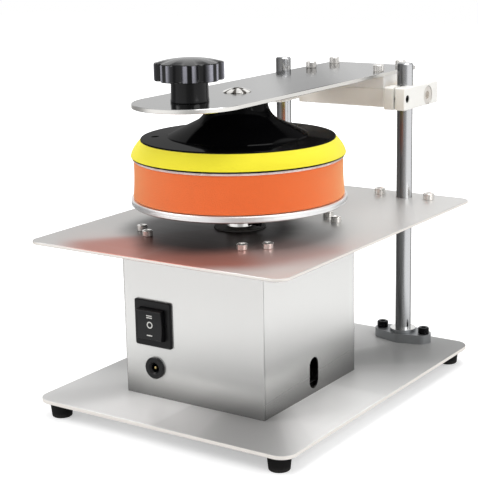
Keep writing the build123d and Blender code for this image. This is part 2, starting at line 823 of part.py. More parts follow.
with BuildPart() as motor_can:
    with BuildSketch(level(*spindle, can_bottom)) as can_ring:
        Circle(can_diameter / 2)
        Circle(can_diameter / 2 - can_wall, mode=Mode.SUBTRACT)
    extrude(can_ring.sketch, amount=can_length)
finish(motor_can, "motor_can")

with BuildPart() as motor_cap:
    disc(level(*spindle, cap_bottom), can_diameter, cap_thickness)
    disc(level(*spindle, can_bottom), bearing_diameter, -bearing_width, Mode.SUBTRACT)
    disc(level(*spindle, cap_bottom), boss_bore, cap_thickness, Mode.SUBTRACT)
finish(motor_cap, "motor_cap")

with BuildPart() as motor_bearings:
    for seat_z in (bell_bottom, can_bottom - bearing_width):
        with BuildSketch(level(*spindle, seat_z)) as race:
            Circle(bearing_diameter / 2)
            Circle(shaft_diameter / 2 + running_fit, mode=Mode.SUBTRACT)
        ring = extrude(race.sketch, amount=bearing_width)
        chamfer(ring.edges().filter_by(GeomType.CIRCLE).sort_by(SortBy.RADIUS)[-2:], bearing_edge)
finish(motor_bearings, "motor_bearings")

can_inner = can_diameter / 2 - can_wall
rotor_middle = can_bottom + can_length / 2 + rotor_lift
with BuildPart() as motor_magnets:
    for direction in (0, 180):
        with BuildSketch(level(*spindle, rotor_middle - magnet_length / 2)) as segment:
            with BuildLine():
                first = direction - magnet_angle / 2
                outer = CenterArc((0, 0), can_inner, first, magnet_angle)
                inner = CenterArc((0, 0), can_inner - magnet_thickness, first, magnet_angle)
                Line(outer @ 0, inner @ 0)
                Line(outer @ 1, inner @ 1)
            make_face()
        extrude(segment.sketch, amount=magnet_length)
finish(motor_magnets, "motor_magnets")

with BuildPart() as rotor_shaft:
    disc(level(*spindle, shaft_bottom), shaft_diameter, platter_bottom - shaft_bottom)
    chamfer(rotor_shaft.edges().group_by(Axis.Z)[0], edge_break)
finish(rotor_shaft, "rotor_shaft")

with BuildPart() as rotor_core:
    with BuildSketch(level(*spindle, rotor_middle - core_length / 2)) as lamination:
        Circle(core_diameter / 2)
        with PolarLocations(core_diameter / 2 - core_slot_depth / 2, core_slots):
            Rectangle(core_slot_depth, core_slot_width, mode=Mode.SUBTRACT)
        Circle(shaft_diameter / 2, mode=Mode.SUBTRACT)
    extrude(lamination.sketch, amount=core_length)
finish(rotor_core, "rotor_core")

with BuildPart() as rotor_windings:
    for start, amount in ((rotor_middle + core_length / 2, 1), (rotor_middle - core_length / 2, -1)):
        with BuildSketch(level(*spindle, start)) as coil_ring:
            Circle(winding_diameter / 2)
            Circle(shaft_diameter / 2, mode=Mode.SUBTRACT)
        extrude(coil_ring.sketch, amount=amount * winding_height)
    outer_edges = rotor_windings.edges().filter_by(GeomType.CIRCLE).group_by(SortBy.RADIUS)[-1]
    fillet(outer_edges.group_by(Axis.Z)[0] + outer_edges.group_by(Axis.Z)[-1], winding_edge)
finish(rotor_windings, "rotor_windings")

commutator_top = rotor_middle - core_length / 2 - winding_height
with BuildPart() as commutator:
    with BuildSketch(level(*spindle, commutator_top - commutator_length)) as copper_ring:
        Circle(commutator_diameter / 2)
        Circle(shaft_diameter / 2, mode=Mode.SUBTRACT)
    extrude(copper_ring.sketch, amount=commutator_length)
finish(commutator, "commutator")

with BuildPart() as motor_brushes:
    brush_z = commutator_top - commutator_length / 2
    brush_length = can_inner - seat_gap - commutator_diameter / 2 - body_gap
    for side in (-1, 1):
        brush_middle = side * (commutator_diameter / 2 + body_gap + brush_length / 2)
        with BuildSketch(level(brush_middle, spindle_y, brush_z - brush_height / 2)) as brush:
            Rectangle(brush_length, brush_width)
        extrude(brush.sketch, amount=brush_height)
    fillet(motor_brushes.edges().filter_by(Axis.X), edge_break)
finish(motor_brushes, "motor_brushes")

with BuildPart() as motor_terminals:
    for side in (-1, 1):
        blade_tip = level(side * motor_terminal_x, spindle_y, cap_bottom - motor_terminal_length)
        with BuildSketch(blade_tip) as blade:
            Rectangle(terminal_width, terminal_thickness)
        extrude(blade.sketch, amount=motor_terminal_length)
finish(motor_terminals, "motor_terminals")

# ---------------------------------------------------------------------------------------------------
# Leads inside the housing
# ---------------------------------------------------------------------------------------------------
switch_row_y = switch_back_y + terminal_length
lower_row_z = switch_centre_z - (switch_terminal_rows - 1) / 2 * switch_terminal_pitch_z
jack_blade_end = jack_end_y + jack_terminal_length
lead_floor = base_top + lead_rise


def lead(points, radii):
    """An insulated wire along straight runs joined by tangent arcs."""
    with BuildLine() as route:
        FilletPolyline(*points, radius=radii)
    start = Vector(*points[0])
    heading = Vector(*points[1]) - start
    with BuildSketch(Plane(start, z_dir=heading)) as section:
        Circle(lead_diameter / 2)
    sweep(section.sketch, path=route.line)


with BuildPart() as inner_leads:
    for side in (-1, 1):
        feed_x = control_x + side * jack_terminal_pitch / 2
        up_y = switch_back_y + terminal_length / 2
        feed_top = lower_row_z - terminal_thickness / 2
        lead(
            [
                (feed_x, jack_blade_end, jack_centre_z),
                (feed_x, up_y, jack_centre_z),
                (feed_x, up_y, feed_top),
            ],
            [lead_bend],
        )
    turn_y = switch_row_y + lead_straight + lead_bend
    for side in (-1, 1):
        column_x = control_x + side * switch_terminal_pitch_x / 2
        lead(
            [
                (column_x, switch_row_y, switch_centre_z),
                (column_x, turn_y, switch_centre_z),
                (column_x, turn_y, lead_floor),
                (side * motor_terminal_x, spindle_y, lead_floor),
                (side * motor_terminal_x, spindle_y, cap_bottom - motor_terminal_length),
            ],
            [lead_bend] * 3,
        )
finish(inner_leads, "inner_leads")

# ---------------------------------------------------------------------------------------------------
# Hub and platter
# ---------------------------------------------------------------------------------------------------
hub_grub_height = hub_bottom + hub_grub_z
hub_screw_sites = circle_sites(hub_screw_circle)

with BuildPart() as platter_hub:
    disc(level(*spindle, hub_bottom), hub_diameter, platter_bottom - hub_bottom)
    fillet(platter_hub.edges().filter_by(GeomType.CIRCLE).group_by(Axis.Z)[0], hub_edge)
    disc(level(*spindle, platter_bottom), hub_flange_diameter, -hub_flange)
    disc(level(*spindle, hub_bottom), shaft_diameter, platter_bottom - hub_bottom, Mode.SUBTRACT)
    grub_axis = Plane((0, spindle_y, hub_grub_height), z_dir=(1, 0, 0))
    disc(grub_axis, hub_grub_thread, hub_diameter, Mode.SUBTRACT)
    for x, y in hub_screw_sites:
        disc(level(x, y, platter_bottom), hub_screw_thread, -hub_flange, Mode.SUBTRACT)
finish(platter_hub, "platter_hub")

with BuildPart() as hub_grub_screw:
    mouth = Plane((hub_diameter / 2 + hub_grub_proud, spindle_y, hub_grub_height), z_dir=(1, 0, 0))
    reach = (hub_diameter - shaft_diameter) / 2 + hub_grub_proud
    grub_screw(mouth, hub_grub_thread, reach, grub_socket, grub_socket_depth)
finish(hub_grub_screw, "hub_grub_screw")

with BuildPart() as platter:
    disc(level(*spindle, platter_bottom), platter_diameter, platter_thickness)
    chamfer(platter.edges().filter_by(GeomType.CIRCLE), platter_edge)
    rim_plane = level(*spindle, platter_bottom + (platter_thickness - rim_groove) / 2)
    with BuildSketch(rim_plane) as groove:
        Circle(platter_diameter / 2)
        Circle(platter_diameter / 2 - rim_groove_depth, mode=Mode.SUBTRACT)
    extrude(groove.sketch, amount=rim_groove, mode=Mode.SUBTRACT)
    for x, y in hub_screw_sites:
        countersink(
            level(x, y, platter_top), hub_screw_thread + 2 * screw_gap, hub_screw_countersink,
            hub_screw_countersink_depth, platter_thickness, Mode.SUBTRACT,
        )
finish(platter, "platter")

with BuildPart() as disc_boss:
    disc(level(*spindle, platter_top), disc_boss_diameter, disc_boss_height)
    chamfer(disc_boss.edges().filter_by(GeomType.CIRCLE).group_by(Axis.Z)[-1], edge_break)
finish(disc_boss, "disc_boss")

with BuildPart() as platter_screws:
    for x, y in hub_screw_sites:
        head_face = level(x, y, platter_top)
        countersink(
            head_face, hub_screw_thread, hub_screw_countersink - 2 * seat_gap, hub_screw_countersink_depth,
            hub_screw_length,
        )
        cross_slot(head_face, hub_screw_countersink / 2, hub_cross_width, cross_depth)
finish(platter_screws, "platter_screws")

# ---------------------------------------------------------------------------------------------------
# Pad
# ---------------------------------------------------------------------------------------------------
sponge_bottom_radius = sponge_bottom_diameter / 2
sponge_top_radius = sponge_top_diameter / 2


def sponge_profile():
    """Half section of the sponge: rounded edges, a side drawn in at mid height and a well for the boss."""
    well = sponge_well_diameter / 2
    low = (sponge_bottom_radius, sponge_bottom + sponge_round_bottom)
    high = (sponge_top_radius, sponge_top - sponge_round_top)
    waist = ((low[0] + high[0]) / 2 - sponge_draw, (low[1] + high[1]) / 2)
    Polyline(
        (0, sponge_top), (0, sponge_bottom + sponge_well_depth), (well, sponge_bottom + sponge_well_depth),
        (well, sponge_bottom), (sponge_bottom_radius - sponge_round_bottom, sponge_bottom),
    )
    ThreePointArc((sponge_bottom_radius - sponge_round_bottom, sponge_bottom),
                  (sponge_bottom_radius - sponge_round_bottom * (1 - sqrt(0.5)),
                   sponge_bottom + sponge_round_bottom * (1 - sqrt(0.5))), low)
    ThreePointArc(low, waist, high)
    ThreePointArc(high,
                  (sponge_top_radius - sponge_round_top * (1 - sqrt(0.5)),
                   sponge_top - sponge_round_top * (1 - sqrt(0.5))),
                  (sponge_top_radius - sponge_round_top, sponge_top))
    Line((sponge_top_radius - sponge_round_top, sponge_top), (0, sponge_top))


def rim_profile():
    """Half section of the pad's foam: a taper whose side swells a little."""
    low = (rim_bottom_diameter / 2, hook_top)
    high = (rim_top_diameter / 2, rim_top)
    swell = ((low[0] + high[0]) / 2 + rim_bulge, (low[1] + high[1]) / 2)
    Polyline(high, (0, rim_top), (0, hook_top), low)
    ThreePointArc(low, swell, high)


def cone_profile():
    """Half section of the cone: a thin wide flange, a slope and a neck, with a well beneath for the nut."""
    edge = cone_flange_diameter / 2
    foot = cone_foot_diameter / 2
    waist = (cone_waist_diameter / 2, rim_top + cone_waist_z)
    neck = (cone_neck_diameter / 2, rim_top + cone_neck_z)
    curve = (
        neck[0] + (waist[0] - neck[0]) * cone_curve_share,
        waist[1] + (neck[1] - waist[1]) * cone_curve_share,
    )
    top = rim_top + cone_height - cone_top_gap
    well = cone_well_diameter / 2
    bearing = bearing_diameter / 2
    shank = pad_bolt_diameter / 2 + body_gap
    flange_top = rim_top + cone_flange
    foot_top = flange_top + cone_foot_rise
    upper_seat = top - bearing_width
    well_top = rim_top + cone_well_depth
    lower_seat = well_top + bearing_width
    Polyline(
        (well, rim_top), (edge, rim_top), (edge, flange_top - edge_break), (edge - edge_break, flange_top),
        (foot + cone_step, foot_top), (foot, foot_top + cone_step), waist,
    )
    ThreePointArc(waist, curve, neck)
    Polyline(
        neck, (neck[0] - cone_neck_draft, top), (bearing, top), (bearing, upper_seat), (shank, upper_seat),
        (shank, lower_seat), (bearing, lower_seat), (bearing, well_top), (well, well_top), (well, rim_top),
    )


with BuildPart() as orange_sponge:
    turned(sponge_profile)
finish(orange_sponge, "orange_sponge")

with BuildPart() as loop_layer:
    disc(level(*spindle, sponge_top), loop_diameter, loop_thickness)
finish(loop_layer, "loop_layer")

with BuildPart() as hook_layer:
    disc(level(*spindle, loop_top), hook_diameter, hook_thickness)
finish(hook_layer, "hook_layer")

with BuildPart() as yellow_pad:
    turned(rim_profile)
finish(yellow_pad, "yellow_pad")

with BuildPart() as pad_cone:
    turned(cone_profile)
    flange_hole_angle = radians(flange_hole_bearing)
    hole_x = flange_hole_circle / 2 * cos(flange_hole_angle)
    hole_y = spindle_y + flange_hole_circle / 2 * sin(flange_hole_angle)
    hole_floor = level(hole_x, hole_y, rim_top + cone_flange_floor)
    disc(hole_floor, flange_hole_diameter, cone_height, Mode.SUBTRACT)
finish(pad_cone, "pad_cone")

cone_top = rim_top + cone_height - cone_top_gap
with BuildPart() as pad_bearings:
    for seat_z in (cone_top - bearing_width, rim_top + cone_well_depth):
        with BuildSketch(level(*spindle, seat_z)) as race:
            Circle(bearing_diameter / 2)
            Circle(pad_bolt_diameter / 2 + running_fit, mode=Mode.SUBTRACT)
        extrude(race.sketch, amount=bearing_width)
finish(pad_bearings, "pad_bearings")

washer_top = rim_top + cone_well_depth - body_gap
nut_top = washer_top - pad_washer
bolt_end = nut_top - pad_nut_height - bolt_past_nut
bolt_rim_z = arm_top + pad_bolt_rim
dome_top = bolt_rim_z + pad_bolt_dome


def bolt_profile():
    """Half section of the bolt that holds the pad: a low dome head and a plain shank."""
    shank = pad_bolt_diameter / 2
    head = pad_bolt_head / 2
    Polyline(
        (0, dome_top), (0, bolt_end), (shank, bolt_end), (shank, arm_top), (head, arm_top), (head, bolt_rim_z)
    )
    half_dome(head, bolt_rim_z, pad_bolt_dome)


with BuildPart() as pad_bolt:
    turned(bolt_profile)
    cross_slot(level(*spindle, dome_top), pad_cross_length, pad_cross_width, pad_cross_depth)
finish(pad_bolt, "pad_bolt")

with BuildPart() as pad_nut:
    nut(level(*spindle, nut_top - pad_nut_height), pad_nut_flats, pad_nut_height, pad_bolt_diameter)
    with BuildSketch(level(*spindle, nut_top)) as washer:
        Circle(pad_washer_diameter / 2)
        Circle(pad_bolt_diameter / 2, mode=Mode.SUBTRACT)
    extrude(washer.sketch, amount=pad_washer)
finish(pad_nut, "pad_nut")

# ---------------------------------------------------------------------------------------------------
# Arm with its spacer and hinge block
# ---------------------------------------------------------------------------------------------------
arm_screw_sites = [
    (sx * arm_screw_spacing_x / 2, pivot_y + sy * arm_screw_spacing_y / 2)
    for sx in (-1, 1)
    for sy in (-1, 1)
]

with BuildPart() as arm_plate:
    with BuildSketch(level(0, 0, arm_bottom)) as arm_outline:
        with BuildLine():
            half = arm_width / 2
            nose = ThreePointArc((-half, grip_y), (0, grip_y - half), (half, grip_y))
            Polyline(nose @ 1, (half, arm_rear), (-half, arm_rear), nose @ 0)
        make_face()
        fillet(arm_outline.vertices().group_by(Axis.Y)[-1], arm_rear_corner)
    extrude(arm_outline.sketch, amount=arm_thickness)
    chamfer(arm_plate.faces().filter_by(Axis.Z).edges(), edge_break)
    disc(level(*spindle, arm_bottom), pad_bolt_diameter + 2 * screw_gap, arm_thickness, Mode.SUBTRACT)
    for x, y in arm_screw_sites:
        disc(level(x, y, arm_bottom), arm_screw["thread"] + 2 * screw_gap, arm_thickness, Mode.SUBTRACT)
    countersink(
        Plane((0, grip_y, arm_bottom), z_dir=(0, 0, -1)), grip_thread + 2 * screw_gap, grip_countersink,
        grip_countersink_depth, arm_thickness, Mode.SUBTRACT,
    )
finish(arm_plate, "arm_plate")

with BuildPart() as arm_spacer:
    with BuildSketch(level(0, pivot_y, block_top)) as spacer_outline:
        Rectangle(block_width, block_depth)
    extrude(spacer_outline.sketch, amount=arm_spacer_height)
    chamfer(arm_spacer.edges().filter_by(Axis.Z), block_edge)
    for x, y in arm_screw_sites:
        disc(level(x, y, block_top), arm_screw["thread"] + 2 * screw_gap, arm_spacer_height, Mode.SUBTRACT)
finish(arm_spacer, "arm_spacer")

with BuildPart() as hinge_block:
    with BuildSketch(level(0, pivot_y, block_bottom)) as block_outline:
        Rectangle(block_width, block_depth)
    extrude(block_outline.sketch, amount=block_height)
    chamfer(hinge_block.edges(), block_edge)
    thread_depth = arm_screw_length - arm_thickness - arm_spacer_height
    for x, y in arm_screw_sites:
        disc(level(x, y, block_top), arm_screw["thread"], -thread_depth, Mode.SUBTRACT)
    for side in (-1, 1):
        face = Plane((side * block_width / 2, pivot_y, pivot_z), z_dir=(side, 0, 0))
        disc(face, pivot_pin_diameter + 2 * running_fit, -(pivot_pin_reach + body_gap), Mode.SUBTRACT)
finish(hinge_block, "hinge_block")

with BuildPart() as arm_screws:
    for x, y in arm_screw_sites:
        cap_screw(level(x, y, arm_top), arm_screw, arm_screw_length)
finish(arm_screws, "arm_screws")


# ---------------------------------------------------------------------------------------------------
# Clamps and pivots
# ---------------------------------------------------------------------------------------------------
clamp_middle_z = (clamp_bottom + clamp_top) / 2
clamp_screw_y = rod_y - clamp_screw_ahead
pivot_head_floor = pivot_head_height + pivot_head_recess


def rod_clamp(side):
    """A bar with a slit front end that grips the rod, and a recess at its back for the pivot bolt."""
    with BuildSketch(level(side * rod_x, rod_y, clamp_bottom)) as bar:
        with Locations((0, (clamp_behind - clamp_ahead) / 2)):
            Rectangle(clamp_width, clamp_ahead + clamp_behind)
    body = extrude(bar.sketch, amount=clamp_height)
    chamfer(body.edges(), clamp_edge)
    with BuildSketch(level(side * rod_x, rod_y, clamp_bottom)) as cuts:
        Circle(rod_diameter / 2 + running_fit)
        with Locations((0, -clamp_ahead / 2)):
            Rectangle(clamp_slit, clamp_ahead)
    extrude(cuts.sketch, amount=clamp_height, mode=Mode.SUBTRACT)
    screw_face = Plane((side * clamp_outer, clamp_screw_y, clamp_middle_z), z_dir=(side, 0, 0))
    disc(screw_face, clamp_screw["head"] + 2 * screw_gap, -clamp_screw_recess, Mode.SUBTRACT)
    disc(screw_face, clamp_screw["thread"], -(clamp_width - clamp_screw_end), Mode.SUBTRACT)
    pivot_face = Plane((side * clamp_outer, pivot_y, pivot_z), z_dir=(side, 0, 0))
    disc(pivot_face, pivot_head_diameter + 2 * pivot_head_gap, -pivot_head_floor, Mode.SUBTRACT)
    disc(pivot_face, pivot_pin_diameter, -clamp_width, Mode.SUBTRACT)


for side_name, side in sides.items():
    with BuildPart() as rod_clamp_part:
        rod_clamp(side)
    finish(rod_clamp_part, f"clamp_{side_name}")

with BuildPart() as clamp_screws:
    for side in sides.values():
        seat = Plane(
            (side * (clamp_outer - clamp_screw_recess), clamp_screw_y, clamp_middle_z), z_dir=(side, 0, 0)
        )
        cap_screw(seat, clamp_screw, clamp_width - clamp_screw_recess - clamp_screw_end)
finish(clamp_screws, "clamp_screws")

with BuildPart() as pivot_bolts:
    for side in sides.values():
        seat = Plane((side * (clamp_outer - pivot_head_floor), pivot_y, pivot_z), z_dir=(side, 0, 0))
        bolt = dict(
            thread=pivot_pin_diameter,
            head=pivot_head_diameter,
            height=pivot_head_height,
            socket=pivot_socket,
        )
        inside = clamp_outer - pivot_head_floor - (block_width / 2 - pivot_pin_reach)
        cap_screw(seat, bolt, inside)
finish(pivot_bolts, "pivot_bolts")

with BuildPart() as pivot_bushes:
    for side in sides.values():
        with BuildSketch(Plane((side * clamp_inner, pivot_y, pivot_z), z_dir=(side, 0, 0))) as bush:
            Circle(pivot_bush_diameter / 2)
            Circle(pivot_pin_diameter / 2, mode=Mode.SUBTRACT)
        extrude(bush.sketch, amount=-(clamp_inner - block_width / 2 - body_gap))
finish(pivot_bushes, "pivot_bushes")

# ---------------------------------------------------------------------------------------------------
# Star grip
# ---------------------------------------------------------------------------------------------------
grip_body_bottom = arm_top + grip_boss_height
grip_edge_top = grip_body_bottom + grip_body_height
grip_top = grip_edge_top + grip_dome_height

with BuildPart() as grip_knob:
    with BuildSketch(level(0, grip_y, grip_body_bottom)) as star:
        with PolarLocations(0, 1, start_angle=grip_turn):
            Circle(grip_diameter / 2)
        flute_circle = grip_diameter / 2 + grip_flute_radius - grip_flute_depth
        with PolarLocations(flute_circle, grip_flutes, start_angle=grip_turn):
            Circle(grip_flute_radius, mode=Mode.SUBTRACT)
        fillet(star.vertices(), grip_flute_lip)
    extrude(star.sketch, amount=grip_top - grip_body_bottom)
    grip_axis = Axis((0, grip_y, 0), (0, 0, 1))
    with BuildSketch(Plane((0, grip_y, 0), x_dir=(1, 0, 0), z_dir=(0, -1, 0))) as envelope:
        with BuildLine():
            rim_radius = grip_diameter / 2
            Polyline((0, grip_top), (0, grip_body_bottom), (rim_radius - grip_edge, grip_body_bottom),
                     (rim_radius, grip_body_bottom + grip_edge), (rim_radius, grip_edge_top - grip_edge),
                     (rim_radius - grip_edge, grip_edge_top))
            half_dome(rim_radius - grip_edge, grip_edge_top, grip_dome_height)
        make_face()
    revolve(envelope.sketch, axis=grip_axis, mode=Mode.INTERSECT)
    with BuildSketch(level(0, grip_y, arm_top)) as collar:
        Circle(grip_boss_diameter / 2 + grip_boss_flare)
    with BuildSketch(level(0, grip_y, grip_body_bottom)) as collar_top:
        Circle(grip_boss_diameter / 2)
    loft([collar.sketch.face(), collar_top.sketch.face()])
    disc(level(0, grip_y, arm_top), grip_thread, grip_screw_length - arm_thickness, Mode.SUBTRACT)
finish(grip_knob, "grip_knob")

with BuildPart() as grip_screw:
    head_face = Plane((0, grip_y, arm_bottom), z_dir=(0, 0, -1))
    grip_head = grip_countersink - 2 * seat_gap
    countersink(head_face, grip_thread, grip_head, grip_countersink_depth, grip_screw_length)
    cross_slot(head_face, grip_countersink / 2, grip_cross_width, cross_depth)
finish(grip_screw, "grip_screw")
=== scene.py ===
"""Looks of the disc repair machine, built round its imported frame.

Sizes are in millimetres and become metres where a mesh is made. The frame is +Z up, with the switch side
facing -Y and the spindle standing on the plane x = 0.
"""

from __future__ import annotations

import logging
import math
from collections.abc import Callable, Mapping, Sequence
from dataclasses import dataclass
from enum import Enum
from typing import Any, ClassVar

import bmesh
import bpy
from mathutils import Matrix, Vector

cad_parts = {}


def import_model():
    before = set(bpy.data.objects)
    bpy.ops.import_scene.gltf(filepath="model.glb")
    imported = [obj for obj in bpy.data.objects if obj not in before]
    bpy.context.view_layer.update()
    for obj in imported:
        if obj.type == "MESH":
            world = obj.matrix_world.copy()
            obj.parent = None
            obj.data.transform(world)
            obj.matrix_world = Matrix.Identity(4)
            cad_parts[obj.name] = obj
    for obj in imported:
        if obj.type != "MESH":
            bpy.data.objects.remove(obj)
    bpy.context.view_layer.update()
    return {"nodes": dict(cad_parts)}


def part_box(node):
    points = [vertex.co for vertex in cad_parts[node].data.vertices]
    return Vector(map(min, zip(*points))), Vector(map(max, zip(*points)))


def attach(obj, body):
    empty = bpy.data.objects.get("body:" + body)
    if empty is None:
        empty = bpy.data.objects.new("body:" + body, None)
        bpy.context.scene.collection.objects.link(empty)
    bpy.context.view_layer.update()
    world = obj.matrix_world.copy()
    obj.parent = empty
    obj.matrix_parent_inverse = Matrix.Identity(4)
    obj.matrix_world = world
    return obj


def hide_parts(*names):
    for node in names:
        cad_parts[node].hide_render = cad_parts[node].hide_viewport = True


MM = 0.001
SPINDLE_Y = -43.875
SMOOTH_ANGLE = 32.0
LOG = logging.getLogger("disc_repair_machine")
Colour = tuple[float, float, float, float]
Pair = tuple[float, float]
Place = tuple[float, float, float]
Profile = Sequence[Pair]
Values = Mapping[Any, Any]
Piece = bpy.types.Object


def colour(code: str) -> Colour:
    """Turn a display colour into the linear values that shaders take.

    Args:
        code: Six hexadecimal digits, red, green and blue.

    Returns:
        The linear colour with full alpha.
    """
    parts = [int(code[i : i + 2], 16) / 255 for i in (0, 2, 4)]
    linear = [p / 12.92 if p <= 0.04045 else ((p + 0.055) / 1.055) ** 2.4 for p in parts]
    return (linear[0], linear[1], linear[2], 1.0)


def shade(code: str, factor: float) -> Colour:
    """Return a display colour made lighter or darker by a factor on its linear values."""
    red, green, blue, alpha = colour(code)
    return (min(red * factor, 1.0), min(green * factor, 1.0), min(blue * factor, 1.0), alpha)


def grey(level: float) -> Colour:
    """Return a linear grey with full alpha."""
    return (level, level, level, 1.0)


# ---- Node graphs ----

def operator(operation: str, swapped: bool = False) -> Callable[[Wire, Wire | float], Wire]:
    """Make an operator of a wire that adds one Math node.

    Args:
        operation: The Math node's operation.
        swapped: Whether the other value comes first, as in the reflected form.

    Returns:
        The method that stands for the operator.
    """

    def method(wire: Wire, other: Wire | float) -> Wire:
        """Add the node."""
        return wire.graph.maths(operation, *((other, wire) if swapped else (wire, other)))

    return method


class Wire:
    """An output socket that takes part in Python arithmetic by adding Math nodes."""

    __add__ = __radd__ = operator("ADD")
    __mul__ = __rmul__ = operator("MULTIPLY")
    __sub__ = operator("SUBTRACT")
    __rsub__ = operator("SUBTRACT", swapped=True)
    __truediv__ = operator("DIVIDE")
    __pow__ = operator("POWER")
    __mod__ = operator("FLOORED_MODULO")
    __gt__ = operator("GREATER_THAN")

    def __init__(self, graph: Graph, socket: bpy.types.NodeSocket) -> None:
        """Keep the socket with the graph that its maths is added to."""
        self.graph = graph
        self.socket = socket

    def __abs__(self) -> Wire:
        """Take the size without the sign."""
        return self.graph.maths("ABSOLUTE", self)

    def of(self, name: str) -> Wire:
        """Return another output of the same node."""
        return Wire(self.graph, self.socket.node.outputs[name])


class Graph:
    """A node tree that is written from Python."""

    def __init__(self, tree: bpy.types.NodeTree) -> None:
        """Start from an empty tree."""
        self.tree = tree
        tree.nodes.clear()

    def node(self, kind: str, settings: Values | None = None, inputs: Values | None = None) -> bpy.types.Node:
        """Add one node.

        Args:
            kind: The node's type.
            settings: Attributes, which are set first. "points" fills a float curve with (x, y) pairs.
            inputs: Values or links of the input sockets, by name or number.

        Returns:
            The new node.
        """
        made = self.tree.nodes.new(kind)
        for name, value in (settings or {}).items():
            if name == "points":
                line = made.mapping.curves[0]
                while len(line.points) < len(value):
                    line.points.new(0.5, 0.5)
                for point, place in zip(line.points, value):
                    point.location = place
                    point.handle_type = "AUTO"
                made.mapping.update()
            else:
                setattr(made, name, value)
        for key, value in (inputs or {}).items():
            self.feed(made.inputs[key], value)
        return made

    def feed(self, socket: bpy.types.NodeSocket, value: Any) -> None:
        """Link a wire to an input socket, or set its value."""
        if isinstance(value, Wire):
            self.tree.links.new(value.socket, socket)
        else:
            socket.default_value = value

    def take(
        self, kind: str, settings: Values | None = None, inputs: Values | None = None, output: str | int = 0
    ) -> Wire:
        """Add one node and return one of its outputs."""
        return Wire(self, self.node(kind, settings, inputs).outputs[output])

    def maths(self, operation: str, *values: Wire | float) -> Wire:
        """Add a Math node."""
        return self.take("ShaderNodeMath", {"operation": operation}, dict(enumerate(values)))

    def vector(self, operation: str, *values: Wire | Sequence[float], output: str | int = 0) -> Wire:
        """Add a Vector Math node."""
        return self.take("ShaderNodeVectorMath", {"operation": operation}, dict(enumerate(values)), output)

    def ramp(
        self, value: Wire, low: Wire | float, high: Wire | float, start: float = 0.0, end: float = 1.0
    ) -> Wire:
        """Map a range smoothly onto another, without going past its ends."""
        return self.take(
            "ShaderNodeMapRange",
            {"interpolation_type": "SMOOTHSTEP", "clamp": True},
            {"Value": value, "From Min": low, "From Max": high, "To Min": start, "To Max": end},
        )

    def over(self, length: Wire, reach: Pair, start: float = 0.0, end: float = 1.0) -> Wire:
        """Map a length smoothly onto a range, over a reach in millimetres."""
        return self.ramp(length, reach[0] * MM, reach[1] * MM, start, end)

    def curve(self, value: Wire, points: Profile) -> Wire:
        """Read a smooth line through (x, y) points at a value."""
        return self.take("ShaderNodeFloatCurve", {"points": points}, {"Factor": 1.0, "Value": value})

    def blend(
        self, factor: Wire | float, first: Wire | Colour, second: Wire | Colour, mode: str = "MIX"
    ) -> Wire:
        """Mix two colours."""
        settings = {"data_type": "RGBA", "blend_type": mode, "clamp_factor": True}
        return self.take("ShaderNodeMix", settings, {0: factor, 6: first, 7: second}, output=2)

    def tones(self, level: Wire, tint: str, low: float, high: float) -> Wire:
        """Mix a darker and a lighter tone of one display colour."""
        return self.blend(level, shade(tint, low), shade(tint, high))

    def dimmed(self, tone: Wire, level: Wire, darkest: Colour) -> Wire:
        """Darken a colour: level 1 keeps it and level 0 multiplies it by the darkest tone."""
        return self.blend(1 - level, tone, darkest, "MULTIPLY")

    def place(self) -> Wire:
        """Return the surface point in the object's own coordinates, in metres."""
        return self.take("ShaderNodeTexCoord", output="Object")

    def part(self, vector: Wire, axis: str) -> Wire:
        """Return one part of a vector."""
        return self.take("ShaderNodeSeparateXYZ", inputs={0: vector}, output=axis)

    def along(self, axis: str, start: float = 0.0) -> Wire:
        """Return one coordinate of the surface point, in metres, counted from a start in millimetres."""
        place = self.part(self.place(), axis)
        return place - start * MM if start else place

    def facing(self, axis: str) -> Wire:
        """Return one component of the surface's own normal."""
        return self.part(self.take("ShaderNodeTexCoord", output="Normal"), axis)

    def apart(self, x: Wire, y: Wire) -> Wire:
        """Return how far a point lies from the origin of x and y."""
        return (x * x + y * y) ** 0.5

    def turn(self, x: Wire, y: Wire) -> Wire:
        """Return how far round a point lies: 0 at -Y, a quarter at +X, up to 1."""
        return (self.maths("ARCTAN2", x, 0.0 - y) / (2 * math.pi)) % 1.0

    def noise(
        self, scale: float | Sequence[float], detail: float = 2.0, roughness: float = 0.5, seed: float = 0.0
    ) -> Wire:
        """Add noise that is fixed to the surface point.

        Args:
            scale: Waves per metre, one number or one for each axis.
            detail: How many finer layers of noise are added.
            roughness: How strong the finer layers are.
            seed: Moves the pattern, so that two noises don't match.

        Returns:
            The noise, about 0.5.
        """
        stretch = (scale,) * 3 if isinstance(scale, (int, float)) else tuple(scale)
        moved = self.vector("ADD", self.vector("MULTIPLY", self.place(), stretch), (seed,) * 3)
        inputs = {"Vector": moved, "Scale": 1.0, "Detail": detail, "Roughness": roughness}
        return self.take("ShaderNodeTexNoise", inputs=inputs)

    def cells(self, width: float) -> Wire:
        """Return the distance to the middles of random cells of a width in millimetres, in cell widths."""
        return self.take("ShaderNodeTexVoronoi", inputs={"Vector": self.place(), "Scale": 1 / (width * MM)})

    def bump(self, height: Wire, depth: float, strength: float) -> Wire:
        """Return a normal bent by a height, whose full range stands for a depth in metres."""
        return self.take("ShaderNodeBump", inputs={"Strength": strength, "Distance": depth, "Height": height})

    def surface(self, tone: Wire, rough: Wire | float, normal: Wire | None = None, **others: Any) -> Wire:
        """Add the main shader.

        Args:
            tone: Its base colour.
            rough: Its roughness.
            normal: Its bent normal, if it has one.
            others: Further sockets, named with underscores for spaces.

        Returns:
            The shader.
        """
        inputs = {"Base Color": tone, "Roughness": rough, "Normal": normal}
        inputs.update({name.replace("_", " "): value for name, value in others.items()})
        inputs = {name: value for name, value in inputs.items() if value is not None}
        return self.take("ShaderNodeBsdfPrincipled", inputs=inputs)


